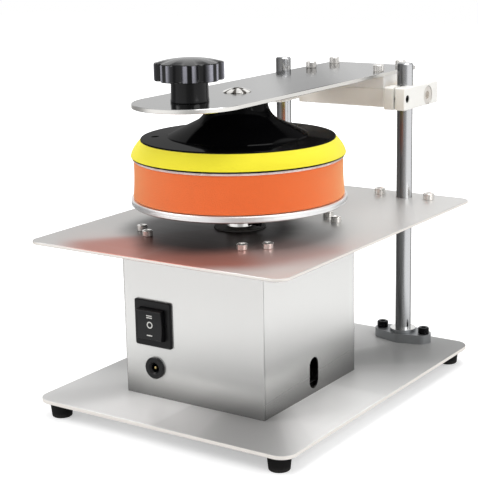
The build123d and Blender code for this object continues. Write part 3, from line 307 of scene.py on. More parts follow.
# ---- Finishes ----

class Grain(Enum):
    """The way a sheet was brushed, as how fine its grain is along each axis."""

    ALONG_X = (0.02, 1.0, 1.0)
    ALONG_Y = (1.0, 0.02, 1.0)
    ALONG_Z = (1.0, 1.0, 0.02)


@dataclass(frozen=True)
class Finish:
    """A procedural material; finishes with equal values share one material."""

    label: str
    _made: ClassVar[dict[Finish, bpy.types.Material]] = {}

    def material(self) -> bpy.types.Material:
        """Return the finish's material, built on first use."""
        if self not in Finish._made:
            made = bpy.data.materials.new(self.label)
            made.use_nodes = True
            graph = Graph(made.node_tree)
            graph.node("ShaderNodeOutputMaterial", inputs={"Surface": self.shader(graph)})
            Finish._made[self] = made
        return Finish._made[self]

    def shader(self, graph: Graph) -> Wire:
        """Build the shader; each finish has its own."""
        raise NotImplementedError

    def toned(self, graph: Graph, tone: Wire) -> Wire:
        """Change the colour from place to place; a plain finish keeps it."""
        return tone


@dataclass(frozen=True)
class BrushedSheet(Finish):
    """Bright sheet with a fine one-way grain, handling smudges and paler cut edges that are partly a painted
    highlight.
    """

    tint: str
    edge_and_highlight_tint: str
    grain: Grain
    roughness: float
    streaks: float
    metallic: float = 1.0
    grazing: float = 0.7
    edges: float = 1.0
    unevenness: float = 0.16
    depth: float = 0.00002
    fineness: float = 2400.0
    coarseness: float = 230.0
    specular: float = 0.5
    edge_turn: Pair = (0.75, 0.35)

    def shader(self, graph: Graph) -> Wire:
        """Build the grain, the smudges and the cut edges, with their painted highlight."""
        fine = graph.noise([self.fineness * part for part in self.grain.value], 2.0, 0.6)
        broad = graph.noise([self.coarseness * part for part in self.grain.value], 3.0, 0.6, seed=4.0)
        smudge = graph.noise(11, 3.0, 0.55, seed=9.0)
        level = fine * 0.55 + broad * 0.45
        face = self.toned(graph, graph.tones(level, self.tint, 1 - self.streaks, 1 + self.streaks))
        # cut edges: their own paler finish, and a painted highlight along them
        edge = graph.ramp(abs(graph.facing("Z")), *self.edge_turn) * self.edges
        return graph.surface(
            graph.blend(edge, face, colour(self.edge_and_highlight_tint)),
            self.roughness + (level - 0.5) * self.unevenness + (smudge - 0.5) * 0.10 + edge * 0.22,
            graph.bump(fine * 0.7 + broad * 0.3, self.depth, 0.35),
            Metallic=self.metallic,
            Specular_IOR_Level=self.specular,
            Specular_Tint=grey(self.grazing),
        )


@dataclass(frozen=True)
class FannedSheet(BrushedSheet):
    """Sheet with painted reflection and shade, whose tone comes and goes in broad wedges round its middle."""

    middle_y: float = -16.5
    darkest: Colour = grey(0.3)
    # painted reflection and shade: how bright the sheet is, by how far round its middle
    reflection_fan: Profile = (
        (0.0, 0.56), (0.039, 0.27), (0.074, 0.04), (0.096, 0.12), (0.110, 0.42), (0.124, 0.72), (0.147, 0.96),
        (0.186, 1.0), (0.214, 1.0), (0.250, 0.78), (0.308, 0.50), (0.347, 0.24), (0.395, 0.06), (0.430, 0.36),
        (0.600, 0.80), (0.700, 0.60), (0.800, 0.35), (0.870, 0.66), (0.900, 0.56), (0.943, 0.92), (1.0, 0.56),
    )

    def toned(self, graph: Graph, tone: Wire) -> Wire:
        """Darken the wedges between the bright ones, as painted reflection and shade."""
        around = graph.turn(graph.along("X"), graph.along("Y", self.middle_y))
        return graph.dimmed(tone, graph.curve(around, self.reflection_fan), self.darkest)


@dataclass(frozen=True)
class BandedSheet(BrushedSheet):
    """Sheet with one broad darker stripe of painted reflection that runs slantwise across it."""

    slant: Pair = (0.81, 0.584)
    reach: Pair = (-160.0, 100.0)
    darkest: Colour = grey(0.12)
    # painted reflection: how bright the sheet is, across the slant
    reflection_band: Profile = (
        (0.0, 0.80), (0.385, 0.85), (0.554, 0.95), (0.596, 1.0), (0.642, 0.56), (0.685, 0.20), (0.735, 0.17),
        (0.785, 0.40), (0.820, 0.70), (0.850, 0.84), (0.888, 1.0), (1.0, 1.0),
    )

    def toned(self, graph: Graph, tone: Wire) -> Wire:
        """Darken the stripe of painted reflection."""
        across = graph.along("X") * self.slant[0] + graph.along("Y") * self.slant[1]
        low, high = self.reach
        return graph.dimmed(tone, graph.curve((across / MM - low) / (high - low), self.reflection_band), self.darkest)


@dataclass(frozen=True)
class WallSheet(BrushedSheet):
    """Upright sheet with painted shade: painted dark on its inner faces, and darker towards its foot in place
    of the dimmer reflection there.
    """

    foot: Pair = (12.0, 43.0)
    side_shade_reach: float = 17.0
    darkest: Colour = grey(0.24)
    # inside: the painted shade of the inner faces
    inside: Colour = grey(0.03)
    inner_shade_turn: Pair = (0.0, -5.0)

    def toned(self, graph: Graph, tone: Wire) -> Wire:
        """Paint shade towards the foot, from higher up on the side walls, and paint the inner faces dark as
        shade.
        """
        low, high = (height * MM for height in self.foot)
        top = high + abs(graph.facing("X")) * (self.side_shade_reach * MM)
        # painted shade towards the foot
        level = graph.ramp(graph.along("Z"), low, top)
        outwards = graph.facing("X") * graph.along("X") + graph.facing("Y") * graph.along("Y", SPINDLE_Y)
        # painted shade on the inner faces
        inner = graph.over(outwards, self.inner_shade_turn)
        return graph.blend(inner, graph.dimmed(tone, level, self.darkest), self.inside)


@dataclass(frozen=True)
class PaintedShadowSheet(BrushedSheet):
    """Sheet below the platter: a painted shadow disc round the spindle, painted reddish bounce light round
    it, painted shade to the left.
    """

    middle: Pair = (-8.0, -56.0)
    disc: Pair = (53.0, 84.0)
    # darkest: the colour of the platter's painted shadow
    darkest: Colour = (0.075, 0.065, 0.065, 1.0)
    sponge_bounce: Colour = (0.72, 0.29, 0.23, 1.0)
    sponge_bounce_reach: Pair = (126.0, 98.0)
    waver: float = 12.0
    front: Profile = (
        (0.0, 0.85), (0.05, 1.0), (0.10, 1.0), (0.15, 0.62), (0.21, 0.5), (0.27, 0.12), (0.34, 0.0),
        (0.80, 0.0), (0.86, 0.1), (0.895, 0.7), (0.93, 1.0), (1.0, 0.85),
    )
    shrink: Profile = (
        (0.0, 1.0), (0.05, 1.0), (0.13, 1.08), (0.20, 1.24), (0.28, 1.30), (0.36, 1.24), (0.5, 1.1),
        (0.85, 1.06), (0.92, 1.12), (0.97, 1.03), (1.0, 1.0),
    )
    left_shade_reach: Pair = (-105.0, 0.0)
    left_shade_level: float = 0.68

    def toned(self, graph: Graph, tone: Wire) -> Wire:
        """Paint the reddish bounce light in the ring, shade on the left side and the platter's shadow in the
        disc.
        """
        x = graph.along("X", self.middle[0])
        y = graph.along("Y", self.middle[1])
        around = graph.turn(x, y)
        spread = graph.apart(x, y) + (graph.noise(28, 3.0, 0.55, seed=2.0) - 0.5) * (self.waver * MM)
        halved = [(at, level / 2) for at, level in self.shrink]  # a curve holds nothing above 1
        # outside: outside the platter's painted shadow
        outside = graph.over(spread * graph.curve(around, halved) * 2.0, self.disc)
        # painted reddish light bounced off the orange sponge
        red = graph.over(spread, self.sponge_bounce_reach) * graph.curve(around, self.front)
        reddened = graph.blend(red, tone, self.sponge_bounce, "MULTIPLY")
        # painted shade, dimmer to the left
        left_shade = graph.over(graph.along("X"), self.left_shade_reach, self.left_shade_level)
        return graph.dimmed(graph.dimmed(reddened, left_shade, grey(0.0)), outside, self.darkest)


@dataclass(frozen=True)
class GroundRod(Finish):
    """A hard ground rod: nearly a mirror, with faint rings from the grinding wheel and a painted reflection
    in dark strips along it.
    """

    tint: str = "D4D5D7"
    roughness: float = 0.20
    darkest: Colour = grey(0.09)
    painted_reflection: Profile = (
        (0.0, 0.14), (0.03, 0.20), (0.07, 0.50), (0.107, 0.95), (0.13, 1.0), (0.215, 1.0), (0.25, 0.45),
        (0.275, 0.12), (0.33, 0.15), (0.37, 0.8), (0.42, 1.0), (0.70, 1.0), (0.78, 0.90), (0.82, 0.40),
        (0.85, 0.10), (1.0, 0.13),
    )

    def shader(self, graph: Graph) -> Wire:
        """Build the rings, a few oily patches and the darker strips of painted reflection, set by which way
        the surface faces.
        """
        rings = graph.noise((60, 60, 3000), 2.0, 0.6)
        oil = graph.noise((70, 70, 25), 3.0, 0.5, seed=3.0)
        tone = graph.tones(rings * 0.6 + oil * 0.4, self.tint, 0.93, 1.05)
        # painted reflection: dark and less metallic where the surface faces some ways
        strip = graph.curve(graph.turn(graph.facing("X"), graph.facing("Y")), self.painted_reflection)
        rough = self.roughness + (rings - 0.5) * 0.08 + (oil - 0.5) * 0.06
        normal = graph.bump(rings, 0.000008, 0.3)
        tone = graph.dimmed(tone, strip, self.darkest)
        return graph.surface(tone, rough, normal, Metallic=0.5 + strip * 0.5)


@dataclass(frozen=True)
class TurnedMetal(Finish):
    """Metal off a lathe: rings about the spindle's axis."""

    tint: str
    roughness: float
    pitch: float
    depth: float = 0.00002

    def shader(self, graph: Graph) -> Wire:
        """Build the tool rings from the distance to the axis."""
        spoke = graph.vector("SUBTRACT", graph.place(), (0.0, SPINDLE_Y * MM, 0.0))
        flat = graph.vector("MULTIPLY", spoke, (1, 1, 0))
        radius = graph.vector("LENGTH", flat, output="Value")
        inputs = {"W": radius + graph.along("Z") * 0.7, "Scale": 1 / (self.pitch * MM), "Detail": 1.0}
        rings = graph.take("ShaderNodeTexNoise", {"noise_dimensions": "1D"}, inputs)
        cloud = graph.noise(30, 3.0, 0.5)
        tone = graph.tones(rings * 0.6 + cloud * 0.4, self.tint, 0.90, 1.07)
        rough = self.roughness + (rings - 0.5) * 0.14 + (cloud - 0.5) * 0.08
        return graph.surface(tone, rough, graph.bump(rings, self.depth, 0.4), Metallic=1.0)


@dataclass(frozen=True)
class PlatterMetal(TurnedMetal):
    """Turned metal whose underside is painted dark, as shade."""

    under_shade: str = "1A1817"
    turn_down: Pair = (-0.6, -0.9)

    def shader(self, graph: Graph) -> Wire:
        """Mix the turned metal with the underside painted dark as shade."""
        # painted shade on the downward faces
        down = graph.ramp(graph.facing("Z"), *self.turn_down)
        grit = graph.noise(900, 3.0, 0.6)
        tone = graph.tones(grit, self.under_shade, 0.7, 1.3)
        dark = graph.surface(tone, 0.55 + (grit - 0.5) * 0.2, graph.bump(grit, 0.00003, 0.4))
        return graph.take("ShaderNodeMixShader", inputs={0: down, 1: super().shader(graph), 2: dark})


@dataclass(frozen=True)
class BlastedMetal(Finish):
    """Metal with a fine even grit, such as blasted aluminium or a casting."""

    tint: str
    roughness: float = 0.45
    grit: float = 2600.0
    mottle: float = 0.07
    depth: float = 0.00003
    metallic: float = 1.0

    def shader(self, graph: Graph) -> Wire:
        """Build the grit and slow changes of tone."""
        grit = graph.noise(self.grit, 2.0, 0.6)
        slow = graph.noise(60, 3.0, 0.5, seed=5.0)
        tone = graph.tones(grit * 0.4 + slow * 0.6, self.tint, 1 - self.mottle, 1 + self.mottle)
        rough = self.roughness + (grit - 0.5) * 0.12 + (slow - 0.5) * 0.10
        tone, rough = self.worked(graph, tone, rough)
        return graph.surface(tone, rough, graph.bump(grit, self.depth, 0.5), Metallic=self.metallic)

    def worked(self, graph: Graph, tone: Wire, rough: Wire) -> tuple[Wire, Wire]:
        """Change the colour and roughness where the metal was machined; a plain casting keeps them."""
        return tone, rough


@dataclass(frozen=True)
class MachinedSupport(BlastedMetal):
    """A blasted casting whose upper hub face was machined bright."""

    tint: str = "9A9C9E"
    mottle: float = 0.1
    bright: str = "E2E2E0"
    face_height: float = 22.5

    def worked(self, graph: Graph, tone: Wire, rough: Wire) -> tuple[Wire, Wire]:
        """Make the ring at the hub's top bright and smoother."""
        ring = graph.ramp(graph.facing("Z"), 0.7, 0.95) * (graph.along("Z") > self.face_height * MM)
        return graph.blend(ring, tone, colour(self.bright)), rough - ring * 0.2


@dataclass(frozen=True)
class ScrewMetal(Finish):
    """A plated or blackened screw with slightly rubbed corners."""

    tint: str
    rubbed: str
    roughness: float
    metallic: float = 1.0

    def shader(self, graph: Graph) -> Wire:
        """Build the plating and the rubbed spots."""
        spots = graph.ramp(graph.noise(900, 3.0, 0.6), 0.55, 0.72)
        slow = graph.noise(220, 2.0, 0.5, seed=2.0)
        tone = graph.blend(spots * 0.4, graph.tones(slow, self.tint, 0.85, 1.1), colour(self.rubbed))
        rough = self.roughness + (slow - 0.5) * 0.12 + spots * 0.06
        return graph.surface(
            self.toned(graph, tone), rough, graph.bump(slow, 0.00003, 0.3), Metallic=self.metallic
        )


@dataclass(frozen=True)
class CrossBoltMetal(ScrewMetal):
    """A polished dome with a painted reflection: dark rays between pale petals round its cross recess, which
    is painted dark as shade.
    """

    reflection_lines: int = 8
    # dark: the painted reflection's dark rays and the painted shade in the recess
    dark: str = "55504A"
    reflection_line_turn: Pair = (-0.75, -0.1)
    recess: Pair = (2.4, 3.6)

    def toned(self, graph: Graph, tone: Wire) -> Wire:
        """Paint the dark rays between the pale petals, as reflection, and the recess dark, as shade."""
        x = graph.along("X")
        y = graph.along("Y", SPINDLE_Y)
        wave = graph.maths("COSINE", graph.turn(x, y) * (2 * math.pi * self.reflection_lines))
        outside = graph.over(graph.apart(x, y), self.recess)
        return graph.blend(graph.ramp(wave, *self.reflection_line_turn) * outside, colour(self.dark), tone)


@dataclass(frozen=True)
class MouldedPlastic(Finish):
    """Moulded plastic, from satin to glossy, with faint flow marks, dust and a fine mould texture."""

    tint: str
    roughness: float
    gloss: float
    texture: float
    dust: float = 0.05
    specular: float = 0.5
    dust_tint: str = "8C8A88"

    def shader(self, graph: Graph) -> Wire:
        """Build the mould texture and the dust."""
        texture = graph.noise(3200, 2.0, 0.55)
        flow = graph.noise((24, 24, 9), 3.0, 0.5, seed=6.0)
        specks = graph.ramp(graph.noise(1500, 1.0, 0.5, seed=11.0), 0.68, 0.80)
        clean = graph.tones(flow, self.tint, 0.8, 1.35)
        tone = graph.blend(specks * self.dust, clean, colour(self.dust_tint))
        return graph.surface(
            self.toned(graph, tone),
            self.roughness + (flow - 0.5) * 0.10 + specks * 0.15,
            graph.bump(texture * 0.5 + flow * 0.5, 0.00004 * self.texture, 0.5),
            Specular_IOR_Level=self.specular,
            Coat_Weight=self.gloss,
            Coat_Roughness=0.05,
        )


@dataclass(frozen=True)
class LobedPlastic(MouldedPlastic):
    """Plastic of a star grip, with painted highlights as pale strips along the upright edges of its lobes."""

    axis_y: float = -98.875
    lobes: int = 8
    # pale: the colour of the painted highlights
    pale: str = "9C9CA6"
    body_foot: float = 238.4
    painted_highlight: Profile = (
        (0.0, 0.75), (0.05, 0.35), (0.10, 0.05), (0.45, 0.0), (0.56, 0.30), (0.62, 0.9), (0.70, 1.0),
        (0.74, 0.25), (0.78, 0.0), (0.88, 0.0), (0.91, 0.3), (0.95, 1.0), (1.0, 0.75),
    )

    def toned(self, graph: Graph, tone: Wire) -> Wire:
        """Add painted highlights as pale strips along both edges of each lobe."""
        around = graph.turn(graph.along("X"), graph.along("Y", self.axis_y))
        strip = graph.curve((around * self.lobes) % 1.0, self.painted_highlight)
        upright = graph.ramp(abs(graph.facing("Z")), 0.5, 0.2) * (graph.along("Z") > self.body_foot * MM)
        highlight_patchiness = 0.45 + graph.noise((70, 70, 12), 1.0, 0.5, seed=12.0) * 0.9
        return graph.blend(strip * upright * highlight_patchiness, tone, colour(self.pale))


@dataclass(frozen=True)
class FootRubber(Finish):
    """Black rubber with a slightly greyed, scuffed tread."""

    tint: str = "0F0F11"
    scuffed: str = "56534F"
    tread: Pair = (4.5, 0.0)

    def shader(self, graph: Graph) -> Wire:
        """Build the scuffs near the ground."""
        grain = graph.noise(1800, 3.0, 0.6)
        low = graph.over(graph.along("Z"), self.tread) * graph.ramp(grain, 0.35, 0.7)
        tone = graph.blend(low * 0.55 + grain * 0.1, colour(self.tint), colour(self.scuffed))
        normal = graph.bump(grain, 0.00008, 0.6)
        return graph.surface(tone, 0.62 + (grain - 0.5) * 0.2, normal, Specular_IOR_Level=0.2)


@dataclass(frozen=True)
class OpenFoam(Finish):
    """Cut polyurethane foam: small open pores, painted darker as shade, between bright struts, with a soft
    nap.
    """

    tint: str
    pore_shade_tint: str
    sheen: float
    sheen_tint: str
    pore: float = 0.75
    depth: float = 0.00035

    def shader(self, graph: Graph) -> Wire:
        """Build two sizes of pores with painted shade in them, and slow changes of tone."""
        big = graph.cells(self.pore)
        small = graph.cells(self.pore / 2.3)
        slow = graph.noise((28, 28, 60), 3.0, 0.55, seed=7.0)
        # painted shade in the pores, which also sets the bump
        pore_shade = graph.ramp(big, 0.42, 0.12) * 0.7 + graph.ramp(small, 0.40, 0.15) * 0.3
        tone = graph.blend(pore_shade * 0.55, colour(self.tint), colour(self.pore_shade_tint))
        return graph.surface(
            graph.blend((slow - 0.5) * 0.5 + 0.1, tone, shade(self.tint, 1.18)),
            0.92,
            graph.bump(1 - pore_shade, self.depth, 0.6),
            Sheen_Weight=self.sheen,
            Sheen_Roughness=0.55,
            Sheen_Tint=colour(self.sheen_tint),
        )


@dataclass(frozen=True)
class NapCloth(Finish):
    """The cloth of a hook or loop layer, mottled by its tangled threads."""

    tint: str
    dark: str
    thread: float = 0.45
    spread: float = 0.5
    sheen: float = 0.8

    def shader(self, graph: Graph) -> Wire:
        """Build the tangle of threads."""
        wave = 1 / (self.thread * MM)
        tangle = graph.noise((wave, wave, wave * 1.6), 4.0, 0.7)
        clump = graph.noise((160, 160, 300), 2.0, 0.5, seed=8.0)
        half = self.spread * 0.3
        mask = graph.ramp(tangle * 0.7 + clump * 0.3, 0.5 - half, 0.5 + half)
        tone = graph.blend(mask, colour(self.dark), colour(self.tint))
        return graph.surface(tone, 0.95, graph.bump(tangle, 0.0003, 0.7), Sheen_Weight=self.sheen)


@dataclass(frozen=True)
class PaintedMark(Finish):
    """Pad-printed paint, a little worn."""

    tint: str = "D8D8D4"
    worn: str = "6E6E6C"

    def shader(self, graph: Graph) -> Wire:
        """Build the worn print."""
        wear = graph.noise(2600, 3.0, 0.6)
        tone = graph.blend(graph.ramp(wear, 0.6, 0.8) * 0.5, colour(self.tint), colour(self.worn))
        return graph.surface(tone, 0.5 + (wear - 0.5) * 0.2)


BRIGHT_SCREW = ScrewMetal("bright_screw", "EDEAE6", "F7F5F2", 0.14, metallic=0.75)
DARK_SCREW = ScrewMetal("dark_screw", "1B1B1D", "5A5A5C", 0.34)
ZINC_SCREW = ScrewMetal("zinc_screw", "B9BDC2", "DADDE0", 0.30)
CONTACT_METAL = ScrewMetal("contact_metal", "C8B27A", "E5D6A8", 0.3)
CLAMP_METAL = BlastedMetal("clamp_metal", "FBF8F3", 0.38, metallic=0.15)
BEARING_STEEL = TurnedMetal("bearing_steel", "C9CBCE", 0.18, 0.4)
SATIN_BLACK = MouldedPlastic("satin_black", "0C0C0E", 0.38, 0.0, 1.0, specular=0.3)


# ---- Mesh helpers ----

def in_scene(name: str, data: bpy.types.ID) -> Piece:
    """Make an object of some data and link it to the scene."""
    made = bpy.data.objects.new(name, data)
    bpy.context.scene.collection.objects.link(made)
    return made


def settle_mesh(builder: bmesh.types.BMesh, mesh: bpy.types.Mesh, smooth_angle: float) -> None:
    """Merge doubles, point the faces outwards and shade smooth up to an angle, then write the mesh.

    Args:
        builder: The mesh in metres; it is freed here.
        mesh: The mesh that takes the result.
        smooth_angle: Edges sharper than this many degrees stay sharp.
    """
    bmesh.ops.remove_doubles(builder, verts=builder.verts, dist=0.0000005)
    bmesh.ops.recalc_face_normals(builder, faces=builder.faces)
    for face in builder.faces:
        face.smooth = True
    for edge in builder.edges:
        edge.smooth = len(edge.link_faces) == 2 and edge.calc_face_angle(0.0) < math.radians(smooth_angle)
    builder.to_mesh(mesh)
    builder.free()


def to_object(name: str, builder: bmesh.types.BMesh, finish: Finish) -> Piece:
    """Turn a finished bmesh, drawn in millimetres, into an object at the origin.

    Args:
        name: The piece's name.
        builder: The mesh; it is freed here.
        finish: What the piece is finished in.

    Returns:
        The new object.
    """
    bmesh.ops.scale(builder, vec=(MM, MM, MM), verts=builder.verts)
    mesh = bpy.data.meshes.new(name)
    settle_mesh(builder, mesh, SMOOTH_ANGLE)
    mesh.materials.append(finish.material())
    return in_scene(name, mesh)


def lathe(
    name: str,
    profile: Profile,
    finish: Finish,
    segments: int,
    shift: Callable[[float, float, float], float] | None = None,
) -> Piece:
    """Turn a half profile about the spindle's axis.

    Args:
        name: The piece's name.
        profile: (radius, height) points, from the axis at one end to the axis at the other.
        finish: What the piece is finished in.
        segments: How many steps go round.
        shift: Gives a change of the radius from an angle, a radius and a height.

    Returns:
        The new object.
    """
    builder = bmesh.new()
    rows = []
    for radius, height in profile:
        row = []
        for step in range(segments):
            angle = 2 * math.pi * step / segments
            wide = radius + (shift(angle, radius, height) if shift and radius > 0 else 0.0)
            place = (wide * math.cos(angle), SPINDLE_Y + wide * math.sin(angle), height)
            row.append(builder.verts.new(place))
        rows.append(row)
    for low, high in zip(rows, rows[1:]):
        for step in range(segments):
            after = (step + 1) % segments
            builder.faces.new((low[step], low[after], high[after], high[step]))
    return to_object(name, builder, finish)


def rounded(points: Profile, radii: Mapping[int, float], steps: int) -> list[Pair]:
    """Round chosen corners of a profile.

    Args:
        points: The profile's corners.
        radii: Corner number to radius.
        steps: How many points stand for each round.

    Returns:
        The profile with the rounds put in.
    """
    out: list[Pair] = []
    for index, point in enumerate(points):
        if index not in radii:
            out.append(point)
            continue
        here = Vector(point)
        before = (Vector(points[index - 1]) - here).normalized()
        after = (Vector(points[index + 1]) - here).normalized()
        half = before.angle(after) / 2
        reach = radii[index] / math.tan(half)
        centre = here + (before + after).normalized() * (radii[index] / math.sin(half))
        start = here + before * reach - centre
        turn = start.angle_signed(here + after * reach - centre)
        for step in range(steps + 1):
            spoke = start.copy()
            spoke.rotate(Matrix.Rotation(-turn * step / steps, 2))
            out.append((centre.x + spoke.x, centre.y + spoke.y))
    return out


def divided(points: Profile, longest: float) -> list[Pair]:
    """Split the long runs of a profile so that no run is longer than a limit."""
    out = [tuple(points[0])]
    for (r0, z0), (r1, z1) in zip(points, points[1:]):
        count = max(1, math.ceil(math.hypot(r1 - r0, z1 - z0) / longest))
        for step in range(1, count + 1):
            out.append((r0 + (r1 - r0) * step / count, z0 + (z1 - z0) * step / count))
    return out


def waves(angle: float, parts: Sequence[Place]) -> float:
    """Add up (waves round, start, height) waves at an angle."""
    return sum(math.sin(angle * count + start) * height for count, start, height in parts)


def levels(node: str) -> Pair:
    """Return a CAD node's lowest and highest level in millimetres."""
    low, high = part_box(node)
    return low.z / MM, high.z / MM


def middle(node: str) -> Pair:
    """Return the x and y of the middle of a CAD node's box in millimetres."""
    low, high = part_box(node)
    return (low.x + high.x) / 2 / MM, (low.y + high.y) / 2 / MM


# ---- Growing trees ----

Row = tuple[Wire | float, Wire | float]


class GrowingTree:
    """A Geometry Nodes tree with named sizes, which ends in plain mesh with its material."""

    SIZES: ClassVar[Sequence[str]] = ()

    def __init__(self, name: str) -> None:
        """Open the tree and give it one input, in metres, for each of its named sizes."""
        self.tree = bpy.data.node_groups.new(name, "GeometryNodeTree")
        self.graph = Graph(self.tree)
        self.sockets = {"Sites": self.socket("Sites", "INPUT", "NodeSocketGeometry")}
        for size in self.SIZES:
            self.sockets[size] = self.socket(size, "INPUT", "NodeSocketFloat")
        self.socket("Shape", "OUTPUT", "NodeSocketGeometry")
        self.given = self.graph.node("NodeGroupInput")

    def socket(self, name: str, side: str, kind: str) -> str:
        """Add a socket to the tree's interface and return its identifier."""
        return self.tree.interface.new_socket(name, in_out=side, socket_type=kind).identifier

    def size(self, name: str) -> Wire:
        """Return one of the tree's inputs."""
        return Wire(self.graph, self.given.outputs[name])

    def step(self, kind: str, **inputs: Any) -> Wire:
        """Add a Geometry Nodes step, whose sockets are named with underscores for spaces."""
        named = {name.replace("_", " "): value for name, value in inputs.items()}
        return self.graph.take("GeometryNode" + kind, inputs=named)

    def random(self, low: float, high: float, seed: int) -> Wire:
        """Return a number that differs from point to point and stays the same from run to run."""
        node = self.graph.node("FunctionNodeRandomValue", {"data_type": "FLOAT"})
        for name, value in {"Min": low, "Max": high, "Seed": seed}.items():
            self.graph.feed(next(s for s in node.inputs if s.name == name and s.enabled), value)
        return Wire(self.graph, next(s for s in node.outputs if s.enabled))

    def spot(self, x: Wire | float, y: Wire | float, z: Wire | float) -> Wire:
        """Join three numbers to a vector."""
        return self.graph.take("ShaderNodeCombineXYZ", inputs={0: x, 1: y, 2: z})

    def around(self, radius: Wire, angle: Wire, height: Wire) -> Wire:
        """Return the place at a radius, an angle and a height about the upright axis."""
        x, y = (radius * self.graph.maths(operation, angle) for operation in ("COSINE", "SINE"))
        return self.spot(x, y, height)

    def turned(self, rows: Callable[[Wire], Sequence[Row]], columns: int) -> Wire:
        """Turn a profile whose radii may depend on the angle.

        Args:
            rows: Gives the (radius, height) pairs, first and last on the axis, from the angle.
            columns: How many steps go round.

        Returns:
            The closed shape.
        """
        graph = self.graph
        index = self.step("InputIndex")
        row = graph.maths("FLOOR", (index + 0.5) / (columns + 1))
        angle = (index - row * (columns + 1)) * (2 * math.pi / columns)
        profile = rows(angle)
        radius: Wire | float = 0.0
        height: Wire | float = 0.0
        for number, (wide, high) in enumerate(profile):
            here = graph.maths("COMPARE", row, float(number), 0.5)
            radius = here * wide + radius
            height = here * high + height
        grid = self.step("MeshGrid", Vertices_X=len(profile), Vertices_Y=columns + 1)
        moved = self.step("SetPosition", Geometry=grid, Position=self.around(radius, angle, height))
        return self.step("MergeByDistance", Geometry=moved, Distance=0.000002)

    def close(self, shape: Wire, finish: Finish) -> None:
        """Realize the instances, set the material and end the tree."""
        plain = self.step("RealizeInstances", Geometry=shape)
        dressed = self.step("SetMaterial", Geometry=plain, Material=finish.material())
        self.graph.node("NodeGroupOutput", inputs={"Shape": dressed})

    def grow(
        self,
        name: str,
        sites: Sequence[Place],
        values: Mapping[str, float],
        smooth_angle: float = SMOOTH_ANGLE,
    ) -> Piece:
        """Run the tree on some sites and keep the result as a plain mesh.

        Args:
            name: The piece's name.
            sites: Points in millimetres that the tree works on.
            values: The tree's sizes in millimetres.
            smooth_angle: Edges sharper than this many degrees stay sharp.

        Returns:
            The finished object, with no modifier left.
        """
        mesh = bpy.data.meshes.new(name)
        mesh.from_pydata([tuple(part * MM for part in site) for site in sites], [], [])
        piece = in_scene(name, mesh)
        modifier = piece.modifiers.new("grow", "NODES")
        modifier.node_group = self.tree
        for size, value in values.items():
            modifier[self.sockets[size]] = value * MM
        depsgraph = bpy.context.evaluated_depsgraph_get()
        result = bpy.data.meshes.new_from_object(piece.evaluated_get(depsgraph), depsgraph=depsgraph)
        piece.modifiers.clear()
        piece.data = result
        builder = bmesh.new()
        builder.from_mesh(result)
        settle_mesh(builder, result, smooth_angle)
        return piece


class CapScrewTree(GrowingTree):
    """Cap screws with a knurled head and a hex socket, one on each site, turned at random."""

    SIZES: ClassVar[Sequence[str]] = ("Head", "Head Height", "Socket", "Socket Depth", "Thread", "Length")
    COLUMNS: ClassVar[int] = 48
    KNURL: ClassVar[float] = 0.985
    CHAMFER: ClassVar[float] = 0.35
    SEED: ClassVar[int] = 3

    def __init__(self, finish: Finish) -> None:
        """Build the tree for one finish."""
        super().__init__("cap_screw_" + finish.label)
        screw = self.turned(self.profile, self.COLUMNS)
        spin = self.spot(0.0, 0.0, self.random(0.0, 2 * math.pi, self.SEED))
        placed = self.step("InstanceOnPoints", Points=self.size("Sites"), Instance=screw, Rotation=spin)
        self.close(placed, finish)

    def profile(self, angle: Wire) -> list[Row]:
        """Give the half profile from the tip of the thread over the head into the socket."""
        head = self.size("Head") * 0.5
        thread = self.size("Thread") * 0.5
        top = self.size("Head Height")
        foot = 0.0 - self.size("Length")
        floor = top - self.size("Socket Depth")
        odd = (angle / (2 * math.pi / self.COLUMNS) + 0.5) % 2.0 > 1.0
        knurled = head * (1 - odd * (1 - self.KNURL))
        sixth = math.pi / 3
        hexagon = self.size("Socket") * 0.5 / self.graph.maths("COSINE", angle % sixth - sixth / 2)
        chamfer = self.CHAMFER * MM
        return [
            (0.0, foot), (thread - chamfer, foot), (thread, foot + chamfer), (thread, 0.0),
            (head - chamfer, 0.0), (knurled, chamfer), (knurled, top - chamfer * 1.6),
            (head - chamfer * 1.3, top - chamfer * 0.3), (head - chamfer * 2.2, top),
            (hexagon + chamfer * 0.5, top), (hexagon, top - chamfer), (hexagon, floor),
            (0.0, floor - chamfer * 2),
        ]


class FibreTree(GrowingTree):
    """Short stiff fibres that stand out all round the edge of a round layer on the spindle."""

    SIZES: ClassVar[Sequence[str]] = ("Radius", "Low", "High", "Length", "Thickness")
    SIDES: ClassVar[int] = 4
    TIP: ClassVar[float] = 0.15
    SHORTEST: ClassVar[float] = 0.5

    def __init__(self, finish: Finish, count: int, lean: float, seed: int) -> None:
        """Build the tree.

        Args:
            finish: What the fibres are finished in.
            count: How many fibres stand round the layer.
            lean: How far a fibre may lean off the radius, in radians.
            seed: Seed of the random places.
        """
        super().__init__("fibres_" + finish.label)
        angle = self.random(0.0, 2 * math.pi, seed)
        share = self.random(0.0, 1.0, seed + 1)
        low = self.size("Low")
        place = self.around(self.size("Radius"), angle, low + (self.size("High") - low) * share)
        points = self.step("Points", Count=count, Position=place)
        thick = self.size("Thickness")
        fibre = self.step(
            "MeshCone",
            Vertices=self.SIDES,
            Radius_Top=thick * self.TIP,
            Radius_Bottom=thick * 0.5,
            Depth=self.size("Length"),
        )
        tip = self.random(-lean, lean, seed + 2) + math.pi / 2
        swing = self.random(-lean, lean, seed + 3) + angle
        leant = self.spot(0.0, tip, swing)
        grown = self.step("InstanceOnPoints", Points=points, Instance=fibre, Rotation=leant)
        stood = self.step("ScaleInstances", Instances=grown, Scale=self.random(self.SHORTEST, 1.0, seed + 4))
        self.close(self.step("Transform", Geometry=stood, Translation=(0.0, SPINDLE_Y * MM, 0.0)), finish)


